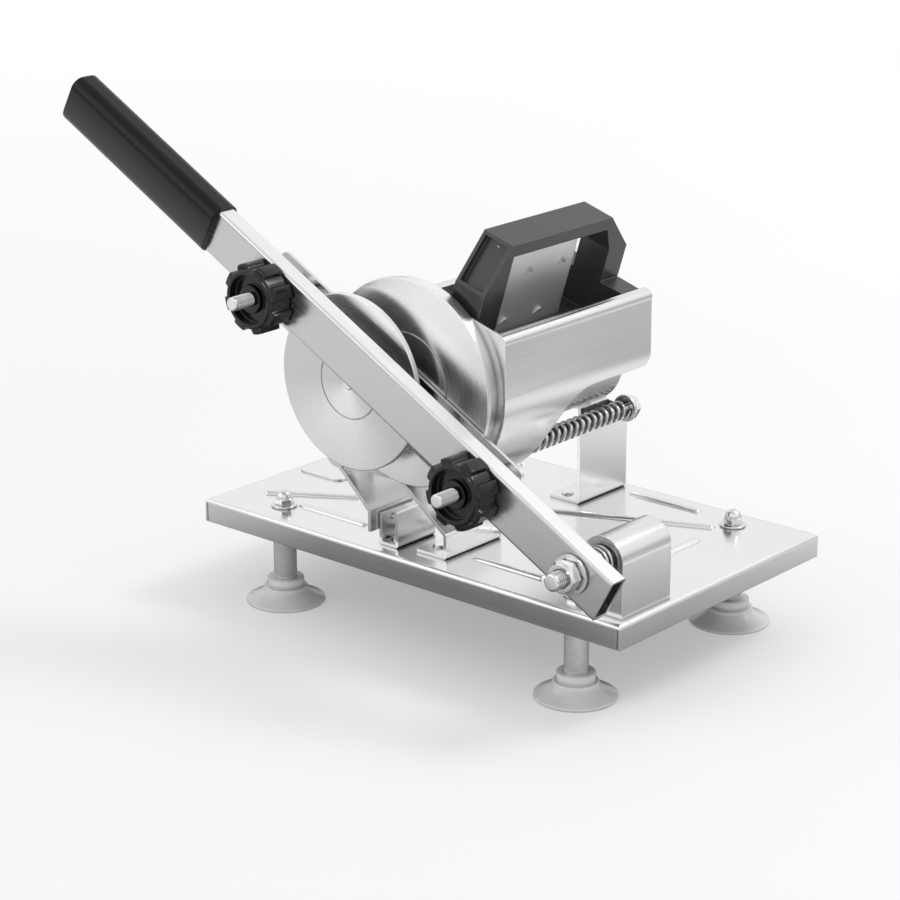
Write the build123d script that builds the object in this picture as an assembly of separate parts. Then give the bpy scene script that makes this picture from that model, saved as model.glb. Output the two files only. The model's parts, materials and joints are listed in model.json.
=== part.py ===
from build123d import *
import math
import os

# Manual meat slicer: a pressed stainless base on four suction feet, a tilted meat trough behind a round
# mouth disc, a blade hung from a pivoting lever, and a gauge disc that a screw moves to set the slice.
# All lengths are millimetres. While modelling, X runs along the base from its left end, Y from the
# front edge to the rear, and Z up from the top of the base. The finished parts are moved together so
# that the origin is the centre of the footprint, on the surface that the feet stand on.

# Clearances and cutting allowances
TOUCH_GAP = 0.3
RUNNING_FIT = 0.05
OVERRUN = 5.0
SHEET = 1.5
PLATE = 2.0

# Base pan
BASE_LENGTH = 310.0
BASE_WIDTH = 187.0
FLANGE_DEPTH = 14.0
PAN_BEND = 2.5
SEAM_GAP = 0.6
RIB_RADIUS = 3.0
RIB_RISE = 1.8
PANEL_RISE = 1.0
PANEL_CORNER = 6.0
# Each pressed rib: the span of the base that it lies in, and its ends as shares of span and width
RIB_END_SHARES = [
    ("before_guide", 0.019, 0.150, 0.635, 0.150),
    ("before_guide", 0.019, 0.920, 0.635, 0.920),
    ("left_half", 0.168, 0.166, 0.516, 0.319),
    ("left_half", 0.168, 0.834, 0.516, 0.681),
    ("right_half", 0.329, 0.150, 0.779, 0.150),
    ("right_half", 0.329, 0.920, 0.779, 0.920),
    ("right_half", 0.120, 0.620, 0.998, 0.827),
    ("right_half", 0.270, 0.380, 0.998, 0.173),
    ("right_half", 1.065, 0.554, 1.065, 0.700),
]
PANEL_SHARES = (0.018, 0.390, 0.130, 0.610)

# Legs, suction cups and their nuts
STAND_HEIGHT = 59.0
LEG_INSET_X = 45.0
LEG_INSET_Y = 21.0
LEG_RADIUS = 6.8
STUD_RADIUS = 3.0
THREAD_CHAMFER = 0.6
CUP_RADIUS = 23.5
CUP_HEIGHT = 15.0
CUP_HOLLOW = 2.8
CUP_EDGE = 1.4
CUP_WALL = 2.6
CUP_HOLLOW_MID_SHARES = (0.6, 0.7)
COLLAR_RADIUS = 11.0
COLLAR_HEIGHT = 6.0
COLLAR_STEP = 1.6
STUD_BURIED = 7.0
DOME_NUT_FLATS = 10.0
DOME_NUT_HEX = 4.0
DOME_NUT_FLANGE_RADIUS = 7.5
DOME_NUT_FLANGE = 1.4
DOME_NUT_CAP_RADIUS = 4.7

# Pivot
PIVOT_INSET = 18.0
PIVOT_X = BASE_LENGTH - PIVOT_INSET
PIVOT_Z = 30.5
BRACKET_RADIUS = 13.5
BRACKET_FRONT = 7.5
BRACKET_DEPTH = 42.5
PIVOT_RADIUS = 5.0
PIVOT_HEAD_FLATS = 16.0
PIVOT_HEAD = 6.0
PIVOT_WASHER_RADIUS = 11.0
PIVOT_WASHER = 1.6
PIVOT_NUT = 8.0
PIVOT_END = 7.8
PIVOT_SPRING_RADIUS = 8.1
PIVOT_SPRING_WIRE = 2.0
PIVOT_SPRING_TURNS = 3.5

# Lever, grip and blade, set out along the lever from the pivot
LEVER_ANGLE = 28.45
LEVER_WIDTH = 27.5
LEVER_THICK = 12.0
LEVER_FRONT = -18.8
LEVER_CORNER = 2.0
LEVER_TAIL = 23.0
GRIP_START = 296.0
GRIP_END = 425.5
GRIP_WIDTH = 29.8
GRIP_THICK = 20.0
GRIP_CORNER = 7.0
GRIP_WALL = 2.0
GRIP_POCKET = 13.0
BLADE_START = 65.0
BLADE_END = 265.0
BLADE_TOP = 4.5
BLADE_EDGE = -38.0
BLADE_THICK = 2.0
BLADE_STANDOFF = 15.5
BLADE_BEVEL = 7.0
BLADE_CUTTING_LAND = 0.3
BLADE_HEEL_RUN = 36.0
BLADE_HEEL_RISE = 32.0
BOLT_PLACES = (75.3, 244.3)
BOLT_DROP = -5.0
BOLT_RADIUS = 4.0
BOLT_HEAD_FLATS = 11.5
BOLT_HEAD = 4.0
SLEEVE_RADIUS = 6.0

# Star knobs
KNOB_RADIUS = 20.2
KNOB_ROOT_RADIUS = 17.6
KNOB_LOBES = 8
KNOB_LOBE_WIDTH = 8.4
KNOB_LOBE_CORNER = 1.0
KNOB_DEPTH = 16.0
KNOB_RIM_RADIUS = 16.2
KNOB_RECESS_RADIUS = 14.0
KNOB_RECESS = 5.0
KNOB_BOSS_RADIUS = 8.0
KNOB_BOSS_SET_BACK = 1.5
KNOB_RIM_RISE = 1.2
STUD_STICKS_OUT = 12.5

# Mouth disc and its window
MOUTH_BEFORE_PIVOT = 141.5
MOUTH_X = PIVOT_X - MOUTH_BEFORE_PIVOT
MOUTH_Z = 99.0
MOUTH_RADIUS = 59.5
MOUTH_THICK = 3.0
MOUTH_GROOVE_RADIUS = 30.0
GROOVE_WIDTH = 0.7
GROOVE_DEPTH = 0.5
DISC_EDGE = 0.5
MOUTH_RIM_STEP = 1.0
MOUTH_RIM = 1.5

# Meat trough, a U in section, leaning to the right
TROUGH_FROM_MOUTH = 16.8
TROUGH_X = MOUTH_X + TROUGH_FROM_MOUTH
TROUGH_Z = 88.0
TROUGH_RADIUS = 27.4
TROUGH_WALL_RISE = 58.0
TROUGH_ROLL = 17.0
TROUGH_REAR = 151.0
TROUGH_LIP = 3.0

# Shroud round the right side and the underside of the trough
SHROUD_MARGIN = 4.5
SHROUD_RADIUS = MOUTH_RADIUS + SHROUD_MARGIN
SHROUD_TOP_ANGLE = 0.5
SHROUD_END_ANGLE = -62.0
SHROUD_SIDE_RISE = 30.0
SHROUD_LIP_BULGE = 1.8
SHROUD_FRONT = 20.0
SHROUD_REAR_LOW = 91.0
SHROUD_LEVEL_END = 100.0
SHROUD_CUT_MIDDLE = (76.0, 81.0)
SHROUD_CUT_Y = 66.0
SHROUD_CUT_LOW = 58.0
SHROUD_CORNER = 7.0

# Adjuster
SCREW_ANGLE = -52.21
SCREW_RADIUS = 4.0
SCREW_FRONT = 27.0
EAR_FRONT = 60.0
EAR_THICK = 3.0
COLLAR_LENGTH = 4.0
ADJUST_BOSS_RADIUS = 5.9
ADJUST_SPRING_RADIUS = 5.1
ADJUST_SPRING_WIRE = 1.6
ADJUST_SPRING_TURNS = 18.0
ADJUST_SPRING_REAR = 166.0
ADJUST_WASHER_RADIUS = 8.2
ADJUST_WASHER = 2.0
ADJUST_NUT_FLATS = 13.0
ADJUST_NUT = 5.5
SCREW_END = 3.5
SCREW_END_RADIUS = 3.2

# Gauge disc, its slide and its guide
GAUGE_FROM_MOUTH = -32.5
GAUGE_X = MOUTH_X + GAUGE_FROM_MOUTH
GAUGE_Z = 95.4
GAUGE_RADIUS = 50.8
GAUGE_FRONT = 0.0
GAUGE_THICK = 3.0
GAUGE_GROOVE_RADIUS = 21.5
GAUGE_SCREW_RADIUS = 2.0
GAUGE_SCREW_HEAD_RADIUS = 4.0
GAUGE_SCREW_HEAD = 1.2
GAUGE_TAB_WIDTH = 16.0
GAUGE_FORWARD = 5.0
GAUGE_BACK = 3.3
SLIDE_TOP_FROM_MOUTH = -53.5
SLIDE_TOP_X = MOUTH_X + SLIDE_TOP_FROM_MOUTH
SLIDE_TOP_Z = 51.0
SLIDE_BEND_FROM_MOUTH = -21.9
SLIDE_BEND_X = MOUTH_X + SLIDE_BEND_FROM_MOUTH
SLIDE_BEND_Z = 20.9
SLIDE_FOOT_Z = 9.0
SLIDE_LENGTH = 36.0
SLIDE_BEND_RADIUS = 0.6
LINK_BACK = 37.0
LINK_THICK = 4.0
LINK_LOW = 50.5
LINK_HIGH = 57.5
LINK_LEG_FROM_MOUTH = -38.5
LINK_LEG_WIDTH = 9.0
LINK_LEG_LEFT = MOUTH_X + LINK_LEG_FROM_MOUTH
LINK_LEG_RIGHT = LINK_LEG_LEFT + LINK_LEG_WIDTH
BOSS_FRONT = 30.0
BOSS_LENGTH = 12.0
GUIDE_FRONT = 10.0
GUIDE_LENGTH = 32.0
GUIDE_HEIGHT = 19.0
GUIDE_RIGHT_HEIGHT = 21.5
GUIDE_FROM_MOUTH = -5.5
GUIDE_RIGHT_X = MOUTH_X + GUIDE_FROM_MOUTH
GUIDE_SCREW_RADIUS = 1.8
GUIDE_SCREW_HEAD_RADIUS = 3.4
GUIDE_SCREW_HEAD = 2.0
GUIDE_SCREW_Y = 20.0
GUIDE_SCREW_Z = 14.6

# Supports between base and trough
REAR_WEB_FROM_MOUTH = 25.5
REAR_WEB_X = MOUTH_X + REAR_WEB_FROM_MOUTH
REAR_WEB_FRONT = 136.0
REAR_WEB_BACK = 181.0
REAR_WEB_DROP = 50.0
REAR_FOOT = 22.0
SADDLE_FROM = -112.0
SADDLE_TO = -56.0
FRONT_WEB_FROM_MOUTH = 27.0
FRONT_WEB_X = MOUTH_X + FRONT_WEB_FROM_MOUTH
FRONT_WEB_TOP = 15.0
FRONT_WEB_BACK = 62.0
FRONT_FOOT = 22.0
FRONT_RISE_FROM_MOUTH = -13.5
FRONT_RISE_X = MOUTH_X + FRONT_RISE_FROM_MOUTH
FRONT_RISE_Z = 46.0
SUPPORT_BEND = 2.2
RIVET_RADIUS = 2.0
RIVET_HEAD_RADIUS = 3.6
RIVET_HEAD = 1.4

# Pusher
PUSHER_FRONT = 23.5
HANDLE_OFFSET = -2.0
HANDLE_WIDTH = 21.0
HANDLE_HEIGHT = 41.3
HANDLE_START = 23.5
HANDLE_LENGTH = 124.0
HANDLE_FRONT_SHOULDER = 12.5
HANDLE_FRONT_CHAMFER = 14.5
HANDLE_REAR_SHOULDER = 19.5
HANDLE_REAR_CHAMFER = 22.0
HANDLE_BAR = 7.5
HANDLE_FRONT_LEG = 18.0
HANDLE_REAR_LEG = 16.0
HANDLE_BASE_TOP = -22.0
HANDLE_BASE = 4.0
HANDLE_BLOCK_TOP = -1.0
RECESS_BORDER = 2.0
RECESS_DEPTH = 4.0
WEB_THICK = 1.5
WEB_BACK = 112.0
WEB_LOW = -52.0
WEB_HELD = 2.0
TOOTH_WIDTH = 10.0
TOOTH_HEIGHT = 4.0
TOOTH_LEG = 1.6
TOOTH_RISE = 1.6
TOOTH_PLACES = ((72.6, 12.5), (101.6, 12.5), (61.9, -17.0), (92.1, -17.0))
FRONT_TOOTH_SPACING = 13.0
FRONT_TOOTH_ROWS = 3

# Places worked out from the sizes above
LEVER_REAR = LEVER_FRONT + LEVER_THICK
BLADE_FRONT = LEVER_REAR + BLADE_STANDOFF
BLADE_BACK = BLADE_FRONT + BLADE_THICK
MOUTH_FRONT = BLADE_BACK + TOUCH_GAP
MOUTH_BACK = MOUTH_FRONT + MOUTH_THICK
GAUGE_BACK_FACE = GAUGE_FRONT + GAUGE_THICK
TROUGH_INNER = TROUGH_RADIUS - SHEET
LEG_HEIGHT = STAND_HEIGHT - CUP_HEIGHT - SHEET
SLIDE_FACE_X = SLIDE_BEND_X + PLATE
GUIDE_LEFT_X = SLIDE_FACE_X + TOUCH_GAP


def box(x0, x1, y0, y1, z0, z1):
    """A block given by its limits."""
    size = Box(x1 - x0, y1 - y0, z1 - z0, align=(Align.MIN, Align.MIN, Align.MIN))
    return Pos(x0, y0, z0) * size


def prism(face, y0, y1):
    """A sketch drawn in X and Z, carried from y0 back to y1."""
    return extrude(Plane.XZ.offset(-y1) * face, y1 - y0)


def bar(radius, x, z, y0, y1):
    """A round bar along Y."""
    return prism(Pos(x, z) * Circle(radius), y0, y1)


def hex_bar(flats, x, z, y0, y1):
    """A hexagonal bar along Y, given across its flats."""
    return prism(Pos(x, z) * RegularPolygon(flats / 2, 6, major_radius=False), y0, y1)


def ring(outer, inner, x, z, y0, y1):
    """A round washer or sleeve along Y."""
    return prism(Pos(x, z) * (Circle(outer) - Circle(inner)), y0, y1)


def bent_strip(points, radius, thickness):
    """The section of a bent sheet: a line with rounded corners, thickened on its left."""
    path = FilletPolyline(*points, radius=radius)
    return make_face(offset(path, amount=thickness, side=Side.LEFT))


def on_circle(x, z, radius, angle):
    """The point of a circle at an angle in degrees."""
    turn = math.radians(angle)
    return (x + radius * math.cos(turn), z + radius * math.sin(turn))


def sector(x, z, radius, start, end):
    """A wedge of the plane that holds every point between two angles, to a radius past the circle's."""
    middle = (start + end) / 2
    reach = 2 * radius
    corners = [(x, z)]
    corners += [on_circle(x, z, reach, angle) for angle in (start, middle, end)]
    return make_face(Polyline(*corners, close=True))


def coil(radius, wire, turns, x, z, y0, y1):
    """A spring along Y as one tube, on pairs of arcs that follow each half turn of the helix."""
    start_y = y0 + wire / 2
    pitch = (y1 - y0 - wire) / turns

    def at(turn):
        across = radius * math.cos(turn)
        up = radius * math.sin(turn)
        return Vector(x + across, start_y + pitch * turn / math.tau, z + up)

    def along(turn):
        return Vector(-radius * math.sin(turn), pitch / math.tau, radius * math.cos(turn)).normalized()

    arcs = []
    for half in range(int(round(2 * turns))):
        a, b = half * math.pi, (half + 1) * math.pi
        chord = at(b) - at(a)
        both = along(a) + along(b)
        spread = 2 * (1 - along(a).dot(along(b)))
        lean = chord.dot(both)
        reach = (-lean + math.sqrt(lean * lean + spread * chord.dot(chord))) / spread
        middle = (at(a) + at(b) + (along(a) - along(b)) * reach) / 2
        heading = ((at(b) - along(b) * reach) - (at(a) + along(a) * reach)).normalized()
        arcs.append(TangentArc(at(a), middle, tangent=along(a)))
        arcs.append(TangentArc(middle, at(b), tangent=heading))
    path = Wire(arcs)
    tube = sweep(Plane(origin=at(0), z_dir=along(0)) * Circle(wire / 2), path=path)
    print("coil of", turns, "turns: least gap to itself", round(coil_gap(radius, pitch, turns) - wire, 2))
    return tube


def coil_gap(radius, pitch, turns):
    """The least distance between points of a helix that lie more than half a turn apart."""
    steps = 48
    points = []
    for i in range(int(steps * turns) + 1):
        turn = i * math.tau / steps
        points.append((radius * math.cos(turn), radius * math.sin(turn), pitch * i / steps))
    far = steps // 2
    return min(math.dist(p, q) for i, p in enumerate(points) for q in points[i + far:i + 2 * steps])


SCREW_REACH = SHROUD_RADIUS - SHEET - ADJUST_BOSS_RADIUS - TOUCH_GAP
SCREW_X, SCREW_Z = on_circle(MOUTH_X, MOUTH_Z, SCREW_REACH, SCREW_ANGLE)

LEG_PLACES = [
    (x, y)
    for x in (LEG_INSET_X, BASE_LENGTH - LEG_INSET_X)
    for y in (LEG_INSET_Y, BASE_WIDTH - LEG_INSET_Y)
]


REAR_FOOT_X = REAR_WEB_X - REAR_FOOT
FRONT_FOOT_X = FRONT_WEB_X - FRONT_FOOT
RIB_SPANS = {
    "before_guide": (LEG_INSET_X + DOME_NUT_FLANGE_RADIUS, GUIDE_LEFT_X),
    "left_half": (0, GUIDE_LEFT_X),
    "right_half": (FRONT_FOOT_X, BASE_LENGTH - LEG_INSET_X - DOME_NUT_FLANGE_RADIUS),
}


def rib(ends, radius):
    """A rod with round ends, sunk so that only its back stands above the sheet."""
    start, end = RIB_SPANS[ends[0]]
    x0, x1 = (start + share * (end - start) for share in ends[1::2])
    y0, y1 = (share * BASE_WIDTH for share in ends[2::2])
    length = math.hypot(x1 - x0, y1 - y0)
    turn = math.degrees(math.atan2(y1 - y0, x1 - x0))
    depth = RIB_RISE - RIB_RADIUS
    rod = Rot(0, 90, 0) * Cylinder(radius, length, align=(Align.CENTER, Align.CENTER, Align.MIN))
    rod = rod + Sphere(radius) + Pos(length, 0, 0) * Sphere(radius)
    return Pos(x0, y0, depth) * Rot(0, 0, turn) * rod


def base_pan():
    """The pressed sheet that carries everything, with ribs raised from below and open corner seams."""
    outer = box(0, BASE_LENGTH, 0, BASE_WIDTH, -FLANGE_DEPTH, 0)
    outer = fillet(outer.edges().group_by(Axis.Z)[-1], PAN_BEND)
    inner = box(SHEET, BASE_LENGTH - SHEET, SHEET, BASE_WIDTH - SHEET, -FLANGE_DEPTH - OVERRUN, -SHEET)
    inner = fillet(inner.edges().group_by(Axis.Z)[-1], PAN_BEND - SHEET)
    pan = outer - inner
    above = box(0, BASE_LENGTH, 0, BASE_WIDTH, -SHEET, RIB_RISE + OVERRUN)
    for ends in RIB_END_SHARES:
        pan = pan + (rib(ends, RIB_RADIUS) & above)
    for ends in RIB_END_SHARES:
        pan = pan - rib(ends, RIB_RADIUS - SHEET)
    x0, y0, x1, y1 = (share * size for share, size in zip(PANEL_SHARES, (BASE_LENGTH, BASE_WIDTH) * 2))
    middle = Pos((x0 + x1) / 2, (y0 + y1) / 2, -SHEET)
    pan = pan + middle * extrude(RectangleRounded(x1 - x0, y1 - y0, PANEL_CORNER), SHEET + PANEL_RISE)
    hollow = RectangleRounded(x1 - x0 - 2 * SHEET, y1 - y0 - 2 * SHEET, PANEL_CORNER - SHEET)
    pan = pan - middle * extrude(hollow, PANEL_RISE)
    for x in (SHEET, BASE_LENGTH - SHEET - SEAM_GAP):
        for y in (0, BASE_WIDTH - SHEET):
            pan = pan - box(x, x + SEAM_GAP, y, y + SHEET, -FLANGE_DEPTH, -PAN_BEND)
    for x, y in LEG_PLACES:
        pan = pan - Pos(x, y, 0) * Cylinder(STUD_RADIUS, 2 * OVERRUN)
    for x, y in RIVET_PLACES:
        pan = pan - Pos(x, y, 0) * Cylinder(RIVET_RADIUS, 2 * OVERRUN)
    return pan


def leg(x, y):
    """A thick-walled tube between the suction cup and the base."""
    tube = extrude(Circle(LEG_RADIUS) - Circle(STUD_RADIUS), LEG_HEIGHT)
    return Pos(x, y, CUP_HEIGHT - STAND_HEIGHT) * tube


def suction_cup(x, y):
    """A rubber foot: a shallow hollow below, a flared skirt and a stepped collar."""
    step = COLLAR_RADIUS + COLLAR_STEP
    shoulder = CUP_HEIGHT - COLLAR_HEIGHT
    flare_mid = ((CUP_RADIUS + step) / 2 - CUP_EDGE / 2, (CUP_EDGE + shoulder) / 2 - CUP_EDGE / 2)
    across_share, up_share = CUP_HOLLOW_MID_SHARES
    hollow_mid = ((CUP_RADIUS - CUP_WALL) * across_share, CUP_HOLLOW * up_share)
    outline = [
        ThreePointArc((0, CUP_HOLLOW), hollow_mid, (CUP_RADIUS - CUP_WALL, 0)),
        Polyline((CUP_RADIUS - CUP_WALL, 0), (CUP_RADIUS, 0), (CUP_RADIUS, CUP_EDGE)),
        ThreePointArc((CUP_RADIUS, CUP_EDGE), flare_mid, (step, shoulder)),
        Polyline(
            (step, shoulder),
            (step, shoulder + COLLAR_STEP),
            (COLLAR_RADIUS, shoulder + COLLAR_STEP),
            (COLLAR_RADIUS, CUP_HEIGHT),
            (STUD_RADIUS, CUP_HEIGHT),
            (STUD_RADIUS, STUD_BURIED),
            (0, STUD_BURIED),
            (0, CUP_HOLLOW),
        ),
    ]
    return Pos(x, y, -STAND_HEIGHT) * revolve(Plane.XZ * make_face(outline), Axis.Z)


STUD_TOP = DOME_NUT_FLANGE + DOME_NUT_HEX


def leg_studs():
    """The threaded rods that tie each cup, leg and dome nut together."""
    length = STUD_TOP + STAND_HEIGHT - STUD_BURIED
    rod = Cylinder(STUD_RADIUS, length, align=(Align.CENTER, Align.CENTER, Align.MIN))
    return Compound([Pos(x, y, STUD_BURIED - STAND_HEIGHT) * rod for x, y in LEG_PLACES])


def dome_nuts():
    """Four closed nuts with a flange, a hexagon and a round cap."""
    nut = extrude(Circle(DOME_NUT_FLANGE_RADIUS), DOME_NUT_FLANGE)
    nut = nut + extrude(RegularPolygon(DOME_NUT_FLATS / 2, 6, major_radius=False), STUD_TOP)
    cap = Sphere(DOME_NUT_CAP_RADIUS) & extrude(Circle(DOME_NUT_FLANGE_RADIUS), DOME_NUT_CAP_RADIUS)
    nut = nut + Pos(0, 0, STUD_TOP) * cap - extrude(Circle(STUD_RADIUS), STUD_TOP)
    return Compound([Pos(x, y, 0) * nut for x, y in LEG_PLACES])


def arch(radius, bottom):
    """A tombstone outline about the pivot, in X and Z."""
    height = PIVOT_Z - bottom
    return Pos(PIVOT_X, PIVOT_Z) * (Circle(radius) + Pos(0, -height / 2) * Rectangle(2 * radius, height))


def pivot_bracket():
    """A bent arch open at the back, whose front plate carries the pivot bolt."""
    back = BRACKET_FRONT + BRACKET_DEPTH
    shell = prism(arch(BRACKET_RADIUS, 0), BRACKET_FRONT, back)
    shell = shell - prism(arch(BRACKET_RADIUS - PLATE, -OVERRUN), BRACKET_FRONT + PLATE, back + OVERRUN)
    return shell - bar(PIVOT_RADIUS, PIVOT_X, PIVOT_Z, BRACKET_FRONT - OVERRUN, back)


PIVOT_WASHER_FRONT = LEVER_FRONT - TOUCH_GAP - PIVOT_WASHER
PIVOT_NUT_FRONT = PIVOT_WASHER_FRONT - PIVOT_NUT


def pivot_bolt():
    """The bolt that the lever turns on, with its head inside the bracket."""
    seat = BRACKET_FRONT + PLATE
    shank = bar(PIVOT_RADIUS, PIVOT_X, PIVOT_Z, PIVOT_NUT_FRONT - PIVOT_END, seat)
    shank = chamfer(shank.edges().group_by(Axis.Y)[0], THREAD_CHAMFER)
    return shank + hex_bar(PIVOT_HEAD_FLATS, PIVOT_X, PIVOT_Z, seat, seat + PIVOT_HEAD)


def pivot_washer():
    back = LEVER_FRONT - TOUCH_GAP
    return ring(PIVOT_WASHER_RADIUS, PIVOT_RADIUS, PIVOT_X, PIVOT_Z, PIVOT_WASHER_FRONT, back)


def pivot_nut():
    nut = hex_bar(PIVOT_HEAD_FLATS, PIVOT_X, PIVOT_Z, PIVOT_NUT_FRONT, PIVOT_WASHER_FRONT)
    front, back = PIVOT_NUT_FRONT - OVERRUN, PIVOT_WASHER_FRONT + OVERRUN
    return nut - bar(PIVOT_RADIUS, PIVOT_X, PIVOT_Z, front, back)


def pivot_spring():
    """The short coil that presses the lever away from the bracket and holds it where it is left."""
    front = LEVER_REAR + TOUCH_GAP
    wire, turns = PIVOT_SPRING_WIRE, PIVOT_SPRING_TURNS
    return coil(PIVOT_SPRING_RADIUS, wire, turns, PIVOT_X, PIVOT_Z, front, BRACKET_FRONT)


# The lever and all that it carries are drawn level, pointing to -X from the pivot, then tilted
ON_LEVER = Pos(PIVOT_X, 0, PIVOT_Z) * Rot(0, LEVER_ANGLE, 0)
LEVER_MIDDLE = (LEVER_FRONT + LEVER_REAR) / 2


def along_lever(face, x0, x1):
    """A section drawn in Y and Z about the lever's middle, carried along the lever."""
    return extrude(Plane.YZ.offset(x0) * (Pos(LEVER_MIDDLE, 0) * face), x1 - x0)


def bolt_hole(place, radius, y0, y1):
    return bar(radius, -place, BOLT_DROP, y0 - OVERRUN, y1 + OVERRUN)


def lever_tube():
    """The rectangular steel tube of the lever, open at its tail."""
    inside = RectangleRounded(LEVER_THICK - 2 * SHEET, LEVER_WIDTH - 2 * SHEET, LEVER_CORNER - SHEET)
    wall = RectangleRounded(LEVER_THICK, LEVER_WIDTH, LEVER_CORNER) - inside
    tube = along_lever(wall, GRIP_POCKET - GRIP_END, LEVER_TAIL)
    tube = tube - bar(PIVOT_RADIUS + RUNNING_FIT, 0, 0, LEVER_FRONT - OVERRUN, LEVER_REAR + OVERRUN)
    for place in BOLT_PLACES:
        tube = tube - bolt_hole(place, BOLT_RADIUS, LEVER_FRONT, LEVER_REAR)
    return ON_LEVER * tube


def lever_grip():
    """The moulded grip, pushed over the tube, with an open pocket at its end."""
    body = along_lever(RectangleRounded(GRIP_THICK, GRIP_WIDTH, GRIP_CORNER), -GRIP_END, -GRIP_START)
    ends = body.edges().group_by(Axis.X)
    body = fillet(ends[0] + ends[-1], GRIP_WALL / 2)
    tube = RectangleRounded(LEVER_THICK, LEVER_WIDTH, LEVER_CORNER)
    body = body - along_lever(tube, GRIP_POCKET - GRIP_END, -GRIP_START)
    thick, width = GRIP_THICK - 2 * GRIP_WALL, GRIP_WIDTH - 2 * GRIP_WALL
    pocket = along_lever(
        RectangleRounded(thick, width, GRIP_CORNER - GRIP_WALL), -GRIP_END - OVERRUN, GRIP_POCKET - GRIP_END
    )
    return ON_LEVER * (body - pocket)


def blade():
    """A straight blade with its heel cut off at a slant, bevelled on the side away from the mouth."""
    section = Polyline(
        (BLADE_FRONT, BLADE_TOP),
        (BLADE_BACK, BLADE_TOP),
        (BLADE_BACK, BLADE_EDGE),
        (BLADE_BACK - BLADE_CUTTING_LAND, BLADE_EDGE),
        (BLADE_FRONT, BLADE_EDGE + BLADE_BEVEL),
        close=True,
    )
    strip = extrude(Plane.YZ.offset(-BLADE_END) * make_face(section), BLADE_END - BLADE_START)
    length, height = BLADE_END - BLADE_START, BLADE_TOP - BLADE_EDGE
    outline = RectangleRounded(length, height, BOLT_RADIUS)
    outline = Pos(-BLADE_START - length / 2, BLADE_EDGE + height / 2) * outline
    strip = strip & prism(outline, BLADE_FRONT - OVERRUN, BLADE_BACK + OVERRUN)
    corner = (-BLADE_START, BLADE_EDGE)
    heel = make_face(
        Polyline(
            (corner[0] - BLADE_HEEL_RUN, corner[1]),
            (corner[0], corner[1] + BLADE_HEEL_RISE),
            (corner[0] + OVERRUN, corner[1] + BLADE_HEEL_RISE),
            (corner[0] + OVERRUN, corner[1] - OVERRUN),
            (corner[0] - BLADE_HEEL_RUN, corner[1] - OVERRUN),
            close=True,
        )
    )
    strip = strip - prism(heel, BLADE_FRONT - OVERRUN, BLADE_BACK + OVERRUN)
    for place in BOLT_PLACES:
        strip = strip - bolt_hole(place, BOLT_RADIUS, BLADE_FRONT, BLADE_BACK)
    return ON_LEVER * strip


KNOB_BACK = LEVER_FRONT - TOUCH_GAP
KNOB_FRONT = KNOB_BACK - KNOB_DEPTH


def blade_bolts():
    """Two bolts from behind the blade, through sleeves and lever, to the knobs."""
    bolts = []
    for place in BOLT_PLACES:
        shank = bar(BOLT_RADIUS, -place, BOLT_DROP, KNOB_FRONT - STUD_STICKS_OUT, BLADE_BACK)
        shank = chamfer(shank.edges().group_by(Axis.Y)[0], THREAD_CHAMFER)
        head = hex_bar(BOLT_HEAD_FLATS, -place, BOLT_DROP, BLADE_BACK, BLADE_BACK + BOLT_HEAD)
        bolts.append(ON_LEVER * (shank + head))
    return Compound(bolts)


def blade_sleeves():
    """The two sleeves that hold the blade off the lever, so that the gauge disc passes between."""
    return Compound([
        ON_LEVER * ring(SLEEVE_RADIUS, BOLT_RADIUS, -place, BOLT_DROP, LEVER_REAR, BLADE_FRONT)
        for place in BOLT_PLACES
    ])


def star_knob(place):
    """A moulded knob with square lobes, a raised rim and a boss sunk inside it."""
    outline = Circle(KNOB_ROOT_RADIUS)
    reach = KNOB_RADIUS + OVERRUN
    lobe = Pos(reach / 2, 0) * Rectangle(reach, KNOB_LOBE_WIDTH)
    for number in range(KNOB_LOBES):
        outline = outline + Rot(0, 0, number * 360 / KNOB_LOBES) * lobe
    outline = outline & Circle(KNOB_RADIUS)
    outline = fillet(outline.vertices(), KNOB_LOBE_CORNER)
    rim_back = KNOB_FRONT + KNOB_RIM_RISE
    knob = prism(outline, rim_back, KNOB_BACK)
    knob = knob + bar(KNOB_RIM_RADIUS, 0, 0, KNOB_FRONT, rim_back)
    knob = knob - bar(KNOB_RECESS_RADIUS, 0, 0, KNOB_FRONT - OVERRUN, KNOB_FRONT + KNOB_RECESS)
    knob = knob + bar(KNOB_BOSS_RADIUS, 0, 0, KNOB_FRONT + KNOB_BOSS_SET_BACK, KNOB_BACK)
    knob = knob - bar(BOLT_RADIUS + RUNNING_FIT, 0, 0, KNOB_FRONT - OVERRUN, KNOB_BACK + OVERRUN)
    return ON_LEVER * Pos(-place, 0, BOLT_DROP) * knob


# The trough's section leans to the right, and the pusher is drawn upright and leaned with it
ON_TROUGH = Pos(TROUGH_X, 0, TROUGH_Z) * Rot(0, TROUGH_ROLL, 0)
TROUGH_SECTION = Pos(TROUGH_X, TROUGH_Z) * Rot(0, 0, -TROUGH_ROLL)


def u_shape(radius, rise):
    """A round-bottomed outline, as wide as its bottom, up to a height above the bottom's centre."""
    return Circle(radius) + Pos(0, rise / 2) * Rectangle(2 * radius, rise)


def trough_outside():
    """The filled outline of the trough, in X and Z, used to fit its neighbours round it."""
    return TROUGH_SECTION * u_shape(TROUGH_RADIUS, TROUGH_WALL_RISE)


def below_blade():
    """The half plane that the resting blade covers, in X and Z."""
    reach = BLADE_END
    half = Pos(-reach / 2, -reach / 2) * Rectangle(2 * reach, reach)
    return Pos(PIVOT_X, PIVOT_Z) * Rot(0, 0, -LEVER_ANGLE) * half


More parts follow.
